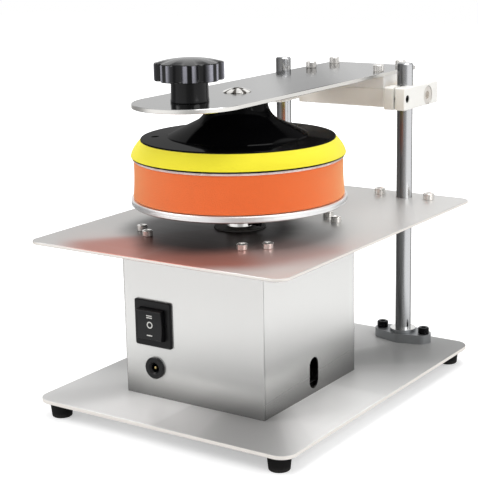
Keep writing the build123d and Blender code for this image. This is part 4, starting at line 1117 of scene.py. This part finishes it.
class StarGripTree(GrowingTree):
    """A star grip: a fluted body with a low dome on a round collar."""

    SIZES: ClassVar[Sequence[str]] = (
        "Rim", "Flute", "Collar", "Flare", "Collar Height", "Body Height", "Dome", "Edge",
    )
    FLUTES: ClassVar[int] = 8
    FIRST_FLUTE: ClassVar[float] = math.radians(15.0)
    HOLLOW: ClassVar[Profile] = (
        (0.0, 1.0), (0.15, 0.96), (0.30, 0.80), (0.42, 0.52), (0.50, 0.22), (0.58, 0.04), (0.66, 0.0),
        (1.0, 0.0),
    )
    COLUMNS: ClassVar[int] = 256
    DOME_ROWS: ClassVar[int] = 8
    FINE: ClassVar[float] = 0.3

    def __init__(self, finish: Finish) -> None:
        """Build the tree."""
        super().__init__("star_grip")
        shape = self.turned(self.profile, self.COLUMNS)
        self.close(self.step("InstanceOnPoints", Points=self.size("Sites"), Instance=shape), finish)

    def profile(self, angle: Wire) -> list[Row]:
        """Give the half profile from the collar's foot over the fluted rim to the crown."""
        share = (angle - self.FIRST_FLUTE) * (self.FLUTES / (2 * math.pi))
        flute = self.size("Flute") * self.graph.curve(abs((share + 0.5) % 1.0 - 0.5) * 2, self.HOLLOW)
        edge = self.size("Edge")
        rim = self.size("Rim") * 0.5 - flute
        outer = self.size("Rim") * 0.5 - edge
        collar = self.size("Collar") * 0.5
        foot = collar + self.size("Flare")
        low = self.size("Collar Height")
        high = low + self.size("Body Height")
        fine = self.FINE * MM
        rows = [
            (0.0, 0.0), (foot - fine, 0.0), (foot, fine), (foot, fine * 5), (collar + fine, fine * 7),
            (collar, low - fine * 2), (collar + fine, low), (rim - edge, low),
            (rim - edge * 0.3, low + edge * 0.3), (rim, low + edge), (rim, high - edge),
            (rim - edge * 0.12, high - edge * 0.5), (rim - edge * 0.5, high - edge * 0.12),
            (rim - edge, high),
        ]
        for step in range(1, self.DOME_ROWS + 1):
            left = 1 - step / self.DOME_ROWS
            rows.append(((outer - flute * left**3) * left, high + self.size("Dome") * (1 - left**2)))
        return rows


# ---- Sub-assemblies ----

@dataclass
class SubAssembly:
    """A group of pieces that are dressed together."""

    finishes: ClassVar[Mapping[str, Finish]] = {}

    def build(self, nodes: Mapping[str, Piece]) -> None:
        """Dress the group's CAD nodes, then make its own pieces."""
        for name, finish in self.finishes.items():
            materials = nodes[name].data.materials
            for index in range(len(materials)):
                materials[index] = finish.material()
            if not materials:
                materials.append(finish.material())
            LOG.info("%s: %s", name, finish.label)
        self.pieces()

    def pieces(self) -> None:
        """Make the pieces that aren't CAD nodes; a group may have none."""

    @staticmethod
    def settle(piece: Piece, body: str, slot: str, *nodes: str) -> None:
        """Put a piece on its body and hide the CAD nodes that it stands for."""
        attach(piece, body)
        if nodes:
            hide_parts(*nodes)
        LOG.info("%s rides on %s", piece.name, body)


@dataclass
class Base(SubAssembly):
    """The base sheet on its four rubber feet."""

    finishes: ClassVar[Mapping[str, Finish]] = {
        "base_plate": FannedSheet(
            "base_sheet", "F5F5F4", "F3EEE8", Grain.ALONG_X, 0.42, 0.03, metallic=0.12, specular=0.25
        ),
        "rubber_feet": FootRubber("foot_rubber"),
        "housing_base_screws": ZINC_SCREW,
        "flange_nuts": ZINC_SCREW,
    }


@dataclass
class Housing(SubAssembly):
    """The two bent panels round the motor."""

    sheet: ClassVar[Finish] = WallSheet(
        "housing_sheet", "ECECEA", "ECECEA", Grain.ALONG_Z, 0.21, 0.008, metallic=0.7, grazing=1.0, edges=0.0,
        unevenness=0.03, depth=0.000001, fineness=600.0,
    )
    finishes: ClassVar[Mapping[str, Finish]] = {"housing_front_left": sheet, "housing_right_back": sheet}


@dataclass
class Table(SubAssembly):
    """The table sheet and its screws."""

    end_sites: Profile = ((39.5, -99.325), (-39.5, -99.325), (39.5, 11.575), (-39.5, 11.575))
    side_sites: Profile = ((52.65, -88.325), (-52.65, -88.325), (52.65, 0.575), (-52.65, 0.575))
    motor_plate_thickness: float = 3.0
    screw: ClassVar[Mapping[str, float]] = {
        "Head": 7.4, "Head Height": 4.2, "Socket": 3.0, "Socket Depth": 2.31, "Thread": 4.0,
    }
    finishes: ClassVar[Mapping[str, Finish]] = {
        # painted shadow of the platter, painted reddish bounce light and painted shade on the left
        "table_plate": PaintedShadowSheet(
            "table_sheet", "E0DFDD", "F4EFE9", Grain.ALONG_X, 0.36, 0.05, metallic=0.6
        ),
    }

    def pieces(self) -> None:
        """Set the eight cap screws."""
        low, high = levels("table_screws")
        seat = high - self.screw["Head Height"]
        tree = CapScrewTree(BRIGHT_SCREW)
        for name, sites, length in (
            ("table_side_screws", self.side_sites, seat - low),
            ("table_end_screws", self.end_sites, seat - low - self.motor_plate_thickness),
        ):
            screws = tree.grow(name, [(x, y, seat) for x, y in sites], {**self.screw, "Length": length})
            self.settle(screws, "base", "bright_screws", "table_screws")


@dataclass
class GuideRods(SubAssembly):
    """The two guide rods with their supports."""

    finishes: ClassVar[Mapping[str, Finish]] = {
        **dict.fromkeys(("guide_rod_left", "guide_rod_right"), GroundRod("rod_steel")),
        **dict.fromkeys(
            ("rod_foot_left", "rod_foot_right", "rod_collar_left", "rod_collar_right"),
            MachinedSupport("rod_support"),
        ),
        "rod_grub_screws": DARK_SCREW,
    }
    rod_x: float = 54.4
    rod_y: float = 101.525
    foot_spacing: float = 36.0
    collar_spacing: float = 42.0
    collar_seat: float = 129.0
    ear: float = 7.0
    base_thickness: float = 3.0
    table_thickness: float = 2.0
    screw: ClassVar[Mapping[str, float]] = {
        "Head": 8.5, "Head Height": 5.0, "Socket": 4.0, "Socket Depth": 2.8, "Thread": 5.0,
    }

    def pieces(self) -> None:
        """Set the supports' cap screws: dark ones on the base, bright ones on the table."""
        foot_seat = levels("rod_foot_left")[0] + self.ear
        foot_reach = self.ear + self.base_thickness
        collar_reach = self.ear + self.table_thickness
        for stem, finish, tone, seat, spacing, length in (
            ("rod_foot", DARK_SCREW, "dark", foot_seat, self.foot_spacing, foot_reach),
            ("rod_collar", BRIGHT_SCREW, "bright", self.collar_seat, self.collar_spacing, collar_reach),
        ):
            xs = [side * self.rod_x + ear * spacing / 2 for side in (-1, 1) for ear in (-1, 1)]
            sites = [(x, self.rod_y, seat) for x in xs]
            screws = CapScrewTree(finish).grow(stem + "_screws", sites, {**self.screw, "Length": length})
            self.settle(screws, "base", tone + "_screws", "rod_support_screws")


@dataclass
class Controls(SubAssembly):
    """The rocker switch with its printed marks, and the power inlet."""

    bow: float = 1.1
    half_height: float = 10.13
    mark_lift: float = 0.13
    half_bar: Pair = (2.4, 0.4)
    bar_heights: Sequence[float] = (5.25, 6.75, -7.4)
    ring_radii: Pair = (1.65, 2.5)
    ring_steps: int = 40
    face: Place = (0.0, 0.0, 0.0)

    finishes: ClassVar[Mapping[str, Finish]] = {
        "switch_frame": SATIN_BLACK,
        "rocker": MouldedPlastic("rocker_plastic", "101012", 0.34, 0.0, 0.6, specular=0.35),
        "switch_terminals": CONTACT_METAL,
        "jack_body": MouldedPlastic("inlet_plastic", "0C0C0E", 0.34, 0.0, 0.6, specular=0.35),
        "jack_contacts": CONTACT_METAL,
        "jack_nut": SATIN_BLACK,
    }

    def pieces(self) -> None:
        """Print the rocker's three marks: two bars above, a ring at the middle and one bar below."""
        low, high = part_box("rocker")
        self.face = ((low.x + high.x) / 2 / MM, low.y / MM, (low.z + high.z) / 2 / MM)
        marks = bmesh.new()
        wide, tall = self.half_bar
        for height in self.bar_heights:
            corners = ((-wide, -tall), (wide, -tall), (wide, tall), (-wide, tall))
            marks.faces.new([marks.verts.new(self.on_face(x, height + z)) for x, z in corners])
        self.ring(marks)
        piece = to_object("rocker_marks", marks, PaintedMark("mark_paint"))
        self.settle(piece, "rocker", "rocker_plastic")

    def on_face(self, x: float, z: float) -> Place:
        """Return the point of the hollowed rocker face at an offset from its middle."""
        ball = (self.half_height**2 + self.bow**2) / (2 * self.bow)
        hollow = self.bow - (ball - math.sqrt(ball**2 - z**2))
        return (self.face[0] + x, self.face[1] + hollow - self.mark_lift, self.face[2] + z)

    def ring(self, builder: bmesh.types.BMesh) -> None:
        """Add the round mark at the rocker's middle."""
        angles = [2 * math.pi * step / self.ring_steps for step in range(self.ring_steps)]
        inner, outer = (
            [builder.verts.new(self.on_face(r * math.cos(angle), r * math.sin(angle))) for angle in angles]
            for r in self.ring_radii
        )
        for step in range(self.ring_steps):
            after = (step + 1) % self.ring_steps
            builder.faces.new((inner[step], outer[step], outer[after], inner[after]))


@dataclass
class Motor(SubAssembly):
    """The drive inside the housing and its leads."""

    finishes: ClassVar[Mapping[str, Finish]] = {
        "motor_plate": BrushedSheet("motor_plate_sheet", "C4C4C4", "E0DCD4", Grain.ALONG_X, 0.34, 0.06),
        "motor_bell": BlastedMetal("cast_bell", "5C5A58", 0.60, 2600.0, 0.1, 0.00003, 0.0),
        "motor_cap": BlastedMetal("cast_cap", "B2B3B5", 0.42),
        "motor_screws": ZINC_SCREW,
        "motor_can": BlastedMetal("can_paint", "26282B", 0.40, 900.0, 0.1, 0.00003, 0.0),
        "motor_bearings": BEARING_STEEL,
        "motor_magnets": BlastedMetal("ferrite", "2B2B2D", 0.62, 1800.0, 0.15, 0.00005, 0.0),
        "motor_brushes": BlastedMetal("carbon", "222224", 0.55, 2200.0, 0.12, 0.00004, 0.0),
        "motor_terminals": CONTACT_METAL,
        "inner_leads": MouldedPlastic("lead_insulation", "A81F1B", 0.42, 0.0, 0.6),
        "rotor_shaft": GroundRod("shaft_steel", "CFCFCE", 0.16),
        "rotor_core": BlastedMetal("core_steel", "7F8184", 0.45, 1500.0, 0.10),
        "rotor_windings": BlastedMetal("winding_copper", "B4622E", 0.35, 1200.0, 0.16, 0.0001),
        "commutator": TurnedMetal("commutator_copper", "C87E4C", 0.28, 0.5),
    }


@dataclass
class Platter(SubAssembly):
    """The turntable on its hub."""

    finishes: ClassVar[Mapping[str, Finish]] = {
        "hub_grub_screw": DARK_SCREW,
        "platter": PlatterMetal("platter_turned", "F6F6F6", 0.36, 0.45),
        "disc_boss": TurnedMetal("platter_metal", "E4E4E4", 0.34, 0.45),
        "platter_screws": ZINC_SCREW,
    }
    hub_finish: ClassVar[Finish] = TurnedMetal("hub_metal", "F2F1EF", 0.12, 0.5, 0.000005)
    foot_radius: float = 10.0
    foot_chamfer: float = 0.5
    collar_height: float = 2.6
    collar_taper: float = 0.36
    collar_step: float = 0.4
    neck_radius: float = 9.2
    flange_radius: float = 20.0
    flange_height: float = 4.0
    segments: int = 128

    def pieces(self) -> None:
        """Turn the hub, whose foot is a narrow tapered collar."""
        low, high = levels("platter_hub")
        foot, neck, chamfer = self.foot_radius, self.neck_radius, self.foot_chamfer
        collar = low + self.collar_height
        flange = high - self.flange_height
        profile = [
            (0.0, low), (foot - chamfer, low), (foot, low + chamfer), (foot - self.collar_taper, collar),
            (neck, collar + self.collar_step), (neck, flange), (self.flange_radius, flange),
            (self.flange_radius, high), (0.0, high),
        ]
        hub = lathe("hub", rounded(profile, {5: 0.8, 6: 0.5}, 5), self.hub_finish, self.segments)
        self.settle(hub, "spindle", "hub_metal", "platter_hub")


@dataclass
class Pad(SubAssembly):
    """The polishing pad: sponge, loop and hook layers, yellow foam and the black cone."""

    segments: int = 288
    sponge_radii: Pair = (74.2, 73.3)
    sponge_draw: float = 0.5
    sponge_side: float = 3.0
    sponge_rounds: Pair = (1.0, 1.6)
    sponge_waves: Sequence[Place] = ((7, 1.3, 0.05), (17, 4.1, 0.03))
    sponge_inset: float = 0.06
    well_radius: float = 13.0
    well_depth: float = 3.0
    well_round: float = 0.8
    rim_radii: Pair = (75.1, 68.3)
    rim_bulge: float = 1.116
    rim_rows: int = 12
    rim_waves: Sequence[Place] = ((9, 0.7, 0.03), (23, 2.0, 0.02))
    rim_inset: float = 0.05
    foam_run: float = 1.6
    cloth_round: float = 0.35
    cloth_run: float = 2.0
    loop_radius: float = 73.9
    hook_radius: float = 74.5
    fibre_count: int = 2600
    fibre_length: float = 0.9
    fibre_thickness: float = 0.22
    fibre_lean: float = 0.6
    fibre_margin: float = 0.3

    finishes: ClassVar[Mapping[str, Finish]] = {
        "pad_bearings": BEARING_STEEL,
        "pad_cone": MouldedPlastic("cone_plastic", "060607", 0.26, 0.15, 0.25, 0.02, specular=0.0),
    }
    orange: ClassVar[Finish] = OpenFoam("orange_foam", "F26A2C", "C94E1C", 0.85, "FFE0A8")
    yellow: ClassVar[Finish] = OpenFoam("yellow_foam", "F2E52A", "D9C60F", 0.25, "FFFBD0", 0.30, 0.00012)
    loop_finish: ClassVar[Finish] = NapCloth("loop_cloth", "FFF8F6", "F3D9D2")
    hook_finish: ClassVar[Finish] = NapCloth("hook_cloth", "0B0A0B", "040404", 0.5, 0.3, 0.0)

    def pieces(self) -> None:
        """Make the soft layers."""
        sponge = self.sponge()
        self.settle(sponge, "pad", "orange_foam", "orange_sponge")
        rim = self.rim()
        self.settle(rim, "pad", "yellow_foam", "yellow_pad")
        for stem, full_radius, finish, seed in (
            ("loop", self.loop_radius, self.loop_finish, 20),
            ("hook", self.hook_radius, self.hook_finish, 40),
        ):
            node, slot = stem + "_layer", stem + "_strip"
            radius = full_radius - self.fibre_length / 2
            low, high = levels(node)
            corners = [(0.0, low), (radius, low), (radius, high), (0.0, high)]
            profile = divided(rounded(corners, dict.fromkeys((1, 2), self.cloth_round), 3), self.cloth_run)
            self.settle(lathe(stem + "_cloth", profile, finish, self.segments), "pad", slot, node)
            sizes = {
                "Radius": radius,
                "Low": low + self.fibre_margin,
                "High": high - self.fibre_margin,
                "Length": self.fibre_length,
                "Thickness": self.fibre_thickness,
            }
            tree = FibreTree(finish, self.fibre_count, self.fibre_lean, seed)
            self.settle(tree.grow(stem + "_fibres", [(0.0, 0.0, 0.0)], sizes, 180.0), "pad", slot, node)

    def sponge(self) -> Piece:
        """Make the orange sponge, with a side that draws in and edges that aren't quite even."""
        low, high = levels("orange_sponge")
        low_radius, high_radius = self.sponge_radii
        floor = low + self.well_depth
        corners = [
            (0.0, floor), (self.well_radius, floor), (self.well_radius, low), (low_radius, low),
            (high_radius, high), (0.0, high),
        ]
        rounds = dict(enumerate((self.well_round, self.well_round, *self.sponge_rounds), 1))
        profile = divided(rounded(corners, rounds, 8), self.foam_run)

        def uneven(angle: float, radius: float, height: float) -> float:
            """Draw the side in at mid height and waver slightly."""
            share = (height - low) / (high - low)
            side = max(0.0, min(1.0, (radius - high_radius + self.sponge_side) / self.sponge_side))
            draw = -4 * self.sponge_draw * share * (1 - share)
            return side * (draw + waves(angle, self.sponge_waves) - self.sponge_inset)

        return lathe("sponge", profile, self.orange, self.segments, uneven)

    def rim(self) -> Piece:
        """Make the yellow foam pad with its swelling side."""
        low, high = levels("yellow_pad")
        low_radius, high_radius = self.rim_radii
        side = []
        for step in range(self.rim_rows + 1):
            share = step / self.rim_rows
            swell = 4 * self.rim_bulge * share * (1 - share)
            side.append((low_radius + (high_radius - low_radius) * share + swell, low + (high - low) * share))
        profile = divided([(0.0, low), *side, (0.0, high)], self.foam_run)

        def uneven(angle: float, radius: float, height: float) -> float:
            """Waver slightly."""
            return waves(angle, self.rim_waves) - self.rim_inset

        return lathe("foam_rim", profile, self.yellow, self.segments, uneven)


@dataclass
class Arm(SubAssembly):
    """The swinging arm, its hinge and the rod clamps."""

    finishes: ClassVar[Mapping[str, Finish]] = {
        "arm_plate": BandedSheet("arm_sheet", "EAEAE9", "F2F0EC", Grain.ALONG_Y, 0.11, 0.03, grazing=0.6),
        "arm_spacer": BlastedMetal("spacer_metal", "FAF9F7", 0.40, metallic=0.1),
        "hinge_block": BlastedMetal("hinge_metal", "FFFAF2", 0.40, metallic=0.0),
        "clamp_left": CLAMP_METAL,
        "clamp_right": CLAMP_METAL,
        "clamp_screws": DARK_SCREW,
        "pivot_bolts": ScrewMetal("pivot_metal", "E6E1DA", "F0ECE6", 0.34, metallic=0.5),
        "pivot_bushes": TurnedMetal("bush_metal", "C7A45E", 0.32, 0.5),
        "pad_bolt": CrossBoltMetal("pad_bolt_metal", "F4F2EE", "F8F6F3", 0.10, metallic=0.8),
        "pad_nut": ZINC_SCREW,
        "grip_screw": ZINC_SCREW,
    }
    grip_finish: ClassVar[Finish] = LobedPlastic(
        "grip_plastic", "08080A", 0.16, 0.12, 0.25, 0.03, specular=0.22
    )
    arm_top: float = 224.4
    screw_sites: Profile = ((30.1, 104.425), (-30.1, 104.425), (30.1, 140.625), (-30.1, 140.625))
    screw: ClassVar[Mapping[str, float]] = {
        "Head": 8.4, "Head Height": 5.0, "Socket": 4.0, "Socket Depth": 2.8, "Thread": 5.0, "Length": 20.0,
    }
    grip: ClassVar[Mapping[str, float]] = {
        "Rim": 46.5, "Flute": 3.2, "Collar": 24.8, "Flare": 0.5, "Collar Height": 14.2, "Body Height": 12.0,
        "Dome": 2.8, "Edge": 1.2,
    }
    grip_smooth_angle: float = 24.0

    def pieces(self) -> None:
        """Set the four cap screws and the star grip."""
        sites = [(x, y, self.arm_top) for x, y in self.screw_sites]
        screws = CapScrewTree(BRIGHT_SCREW).grow("arm_cap_screws", sites, self.screw)
        self.settle(screws, "arm", "bright_screws", "arm_screws")
        site = (*middle("grip_knob"), self.arm_top)
        grip = StarGripTree(self.grip_finish).grow("star_grip", [site], self.grip, self.grip_smooth_angle)
        self.settle(grip, "arm", "grip_plastic", "grip_knob")


# ---- Studio ----

@dataclass
class Studio:
    """Floor, world, lamps and camera."""

    image: tuple[int, int] = (478, 480)
    azimuth: float = 34.47
    elevation: float = 13.69
    roll: float = -1.22
    focal_pixels: float = 1339.09
    distance: float = 979.08
    target: Place = (-15.84, -20.525, 111.53)
    shift: Pair = (-0.0031, 0.0016)
    sensor: float = 36.0
    nearest: float = 10.0
    floor_size: float = 6000.0
    floor_white: float = 0.80
    lift_reach: Pair = (350.0, 1200.0)
    lift_levels: Pair = (0.42, 1.05)
    middle_y: float = -16.5
    half_sides: Pair = (105.0, 134.0)
    shade_reach: Pair = (1.1, 2.4)
    shade_level: float = 0.22
    panel_tones: Profile = (
        (0.0, 0.95), (0.03, 0.85), (0.07, 0.50), (0.12, 0.45), (0.17, 0.75), (0.20, 1.0), (0.42, 1.0),
        (0.435, 0.30), (0.465, 0.30), (0.48, 0.95), (0.66, 0.95), (0.70, 0.45), (0.80, 0.30), (0.84, 0.60),
        (0.88, 1.0), (1.0, 0.95),
    )
    world_level: float = 0.62
    overhead_level: float = 0.72
    overhead_reach: Pair = (0.45, 0.85)
    lamps: Sequence[tuple[str, Place, float, float]] = (
        ("left_softbox", (-900.0, -900.0, 1100.0), 900.0, 9.0),
        ("right_softbox", (1300.0, -300.0, 900.0), 900.0, 7.0),
        ("top_softbox", (100.0, 300.0, 1500.0), 1000.0, 9.0),
    )
    lamp_aim: Place = (0.0, 0.0, 120.0)

    def build(self) -> None:
        """Set up everything that isn't the object."""
        self.floor()
        self.world()
        self.lights()
        self.camera()
        bpy.context.scene.view_settings.view_transform = "Standard"

    def floor(self) -> None:
        """Lay the pale floor, which shows white to the camera and still takes the shadow, and shows a mirror
        a painted shade round the machine.
        """
        half = self.floor_size / 2 * MM
        mesh = bpy.data.meshes.new("floor")
        corners = [(-half, -half, 0), (half, -half, 0), (half, half, 0), (-half, half, 0)]
        mesh.from_pydata(corners, [], [(0, 1, 2, 3)])
        floor = in_scene("floor", mesh)
        material = bpy.data.materials.new("floor_white")
        material.use_nodes = True
        graph = Graph(material.node_tree)
        path = graph.take("ShaderNodeLightPath")
        seen = graph.maths("MAXIMUM", path.of("Is Camera Ray"), path.of("Is Transmission Ray"))
        x = graph.along("X")
        y = graph.along("Y", self.middle_y)
        matt = graph.take("ShaderNodeBsdfDiffuse", inputs={"Color": grey(self.floor_white)})
        lift = graph.over(graph.apart(x, y), self.lift_reach, *self.lift_levels)
        both = graph.take("ShaderNodeAddShader", inputs={0: matt, 1: self.glow(graph, seen * lift)})
        across, deep = (length / (side * MM) for length, side in zip((x, y), self.half_sides))
        # painted shade on the floor round the machine, seen only in mirrors
        near_shade = graph.ramp((across**2.0 + deep**2.0) ** 0.5, *self.shade_reach, self.shade_level)
        mirrored = self.glow(graph, near_shade * self.panels(graph, x, y))
        mixed = graph.take("ShaderNodeMixShader", inputs={0: path.of("Is Glossy Ray"), 1: both, 2: mirrored})
        graph.node("ShaderNodeOutputMaterial", inputs={"Surface": mixed})
        mesh.materials.append(material)

    def glow(self, graph: Graph, strength: Wire) -> Wire:
        """Add a white glow."""
        return graph.take("ShaderNodeEmission", inputs={"Color": grey(1), "Strength": strength})

    def panels(self, graph: Graph, x: Wire, y: Wire) -> Wire:
        """Return how bright the studio is to a mirror, all round: pale panels with dark gaps between them."""
        return graph.curve(graph.turn(x, y), self.panel_tones)

    def world(self) -> None:
        """Light all round softly, show white to the camera and the panels to a mirror."""
        world = bpy.data.worlds.new("studio")
        bpy.context.scene.world = world
        world.use_nodes = True
        graph = Graph(world.node_tree)
        path = graph.take("ShaderNodeLightPath")
        glossy = path.of("Is Glossy Ray")
        direction = graph.take("ShaderNodeTexCoord", output="Generated")
        x = graph.part(direction, "X")
        overhead = graph.ramp(x.of("Z"), *self.overhead_reach)
        studio = overhead * self.overhead_level + (1 - overhead) * self.panels(graph, x, x.of("Y"))
        plain = graph.maths("MAXIMUM", path.of("Is Camera Ray"), path.of("Is Transmission Ray"))
        strength = self.world_level * (1 - plain) * (1 - glossy) + plain + glossy * (1 - plain) * studio
        light = graph.take("ShaderNodeBackground", inputs={"Color": grey(1), "Strength": strength})
        graph.node("ShaderNodeOutputWorld", inputs={"Surface": light})

    def lights(self) -> None:
        """Hang the soft lamps, each aimed at the machine."""
        for name, place, size, power in self.lamps:
            data = bpy.data.lights.new(name, "AREA")
            data.shape = "DISK"
            data.size = size * MM
            data.energy = power
            lamp = in_scene(name, data)
            lamp.location = Vector(place) * MM
            aim = Vector(self.lamp_aim) * MM - lamp.location
            lamp.rotation_euler = aim.to_track_quat("-Z", "Y").to_euler()

    def camera(self) -> None:
        """Stand the camera where the photograph was taken from."""
        a, e, r = (math.radians(v) for v in (self.azimuth, self.elevation, self.roll))
        back = Vector((math.sin(a) * math.cos(e), -math.cos(a) * math.cos(e), math.sin(e)))
        right = Vector((math.cos(a), math.sin(a), 0.0))
        up = back.cross(right)
        turned_right = math.cos(r) * right + math.sin(r) * up
        turned_up = -math.sin(r) * right + math.cos(r) * up
        data = bpy.data.cameras.new("camera")
        data.sensor_width = self.sensor
        data.lens = self.focal_pixels / max(self.image) * self.sensor
        data.shift_x, data.shift_y = self.shift
        data.clip_start = self.nearest * MM
        camera = in_scene("camera", data)
        basis = Matrix((turned_right, turned_up, back)).transposed().to_4x4()
        basis.translation = (Vector(self.target) + self.distance * back) * MM
        camera.matrix_world = basis
        bpy.context.scene.camera = camera


def main() -> None:
    """Load the frame and build each sub-assembly in order."""
    logging.basicConfig(level=logging.INFO, format="%(message)s")
    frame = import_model()
    for assembly in (Base(), Housing(), Table(), GuideRods(), Controls(), Motor(), Platter(), Pad(), Arm()):
        assembly.build(frame["nodes"])
    Studio().build()


if __name__ == "__main__":
    main()
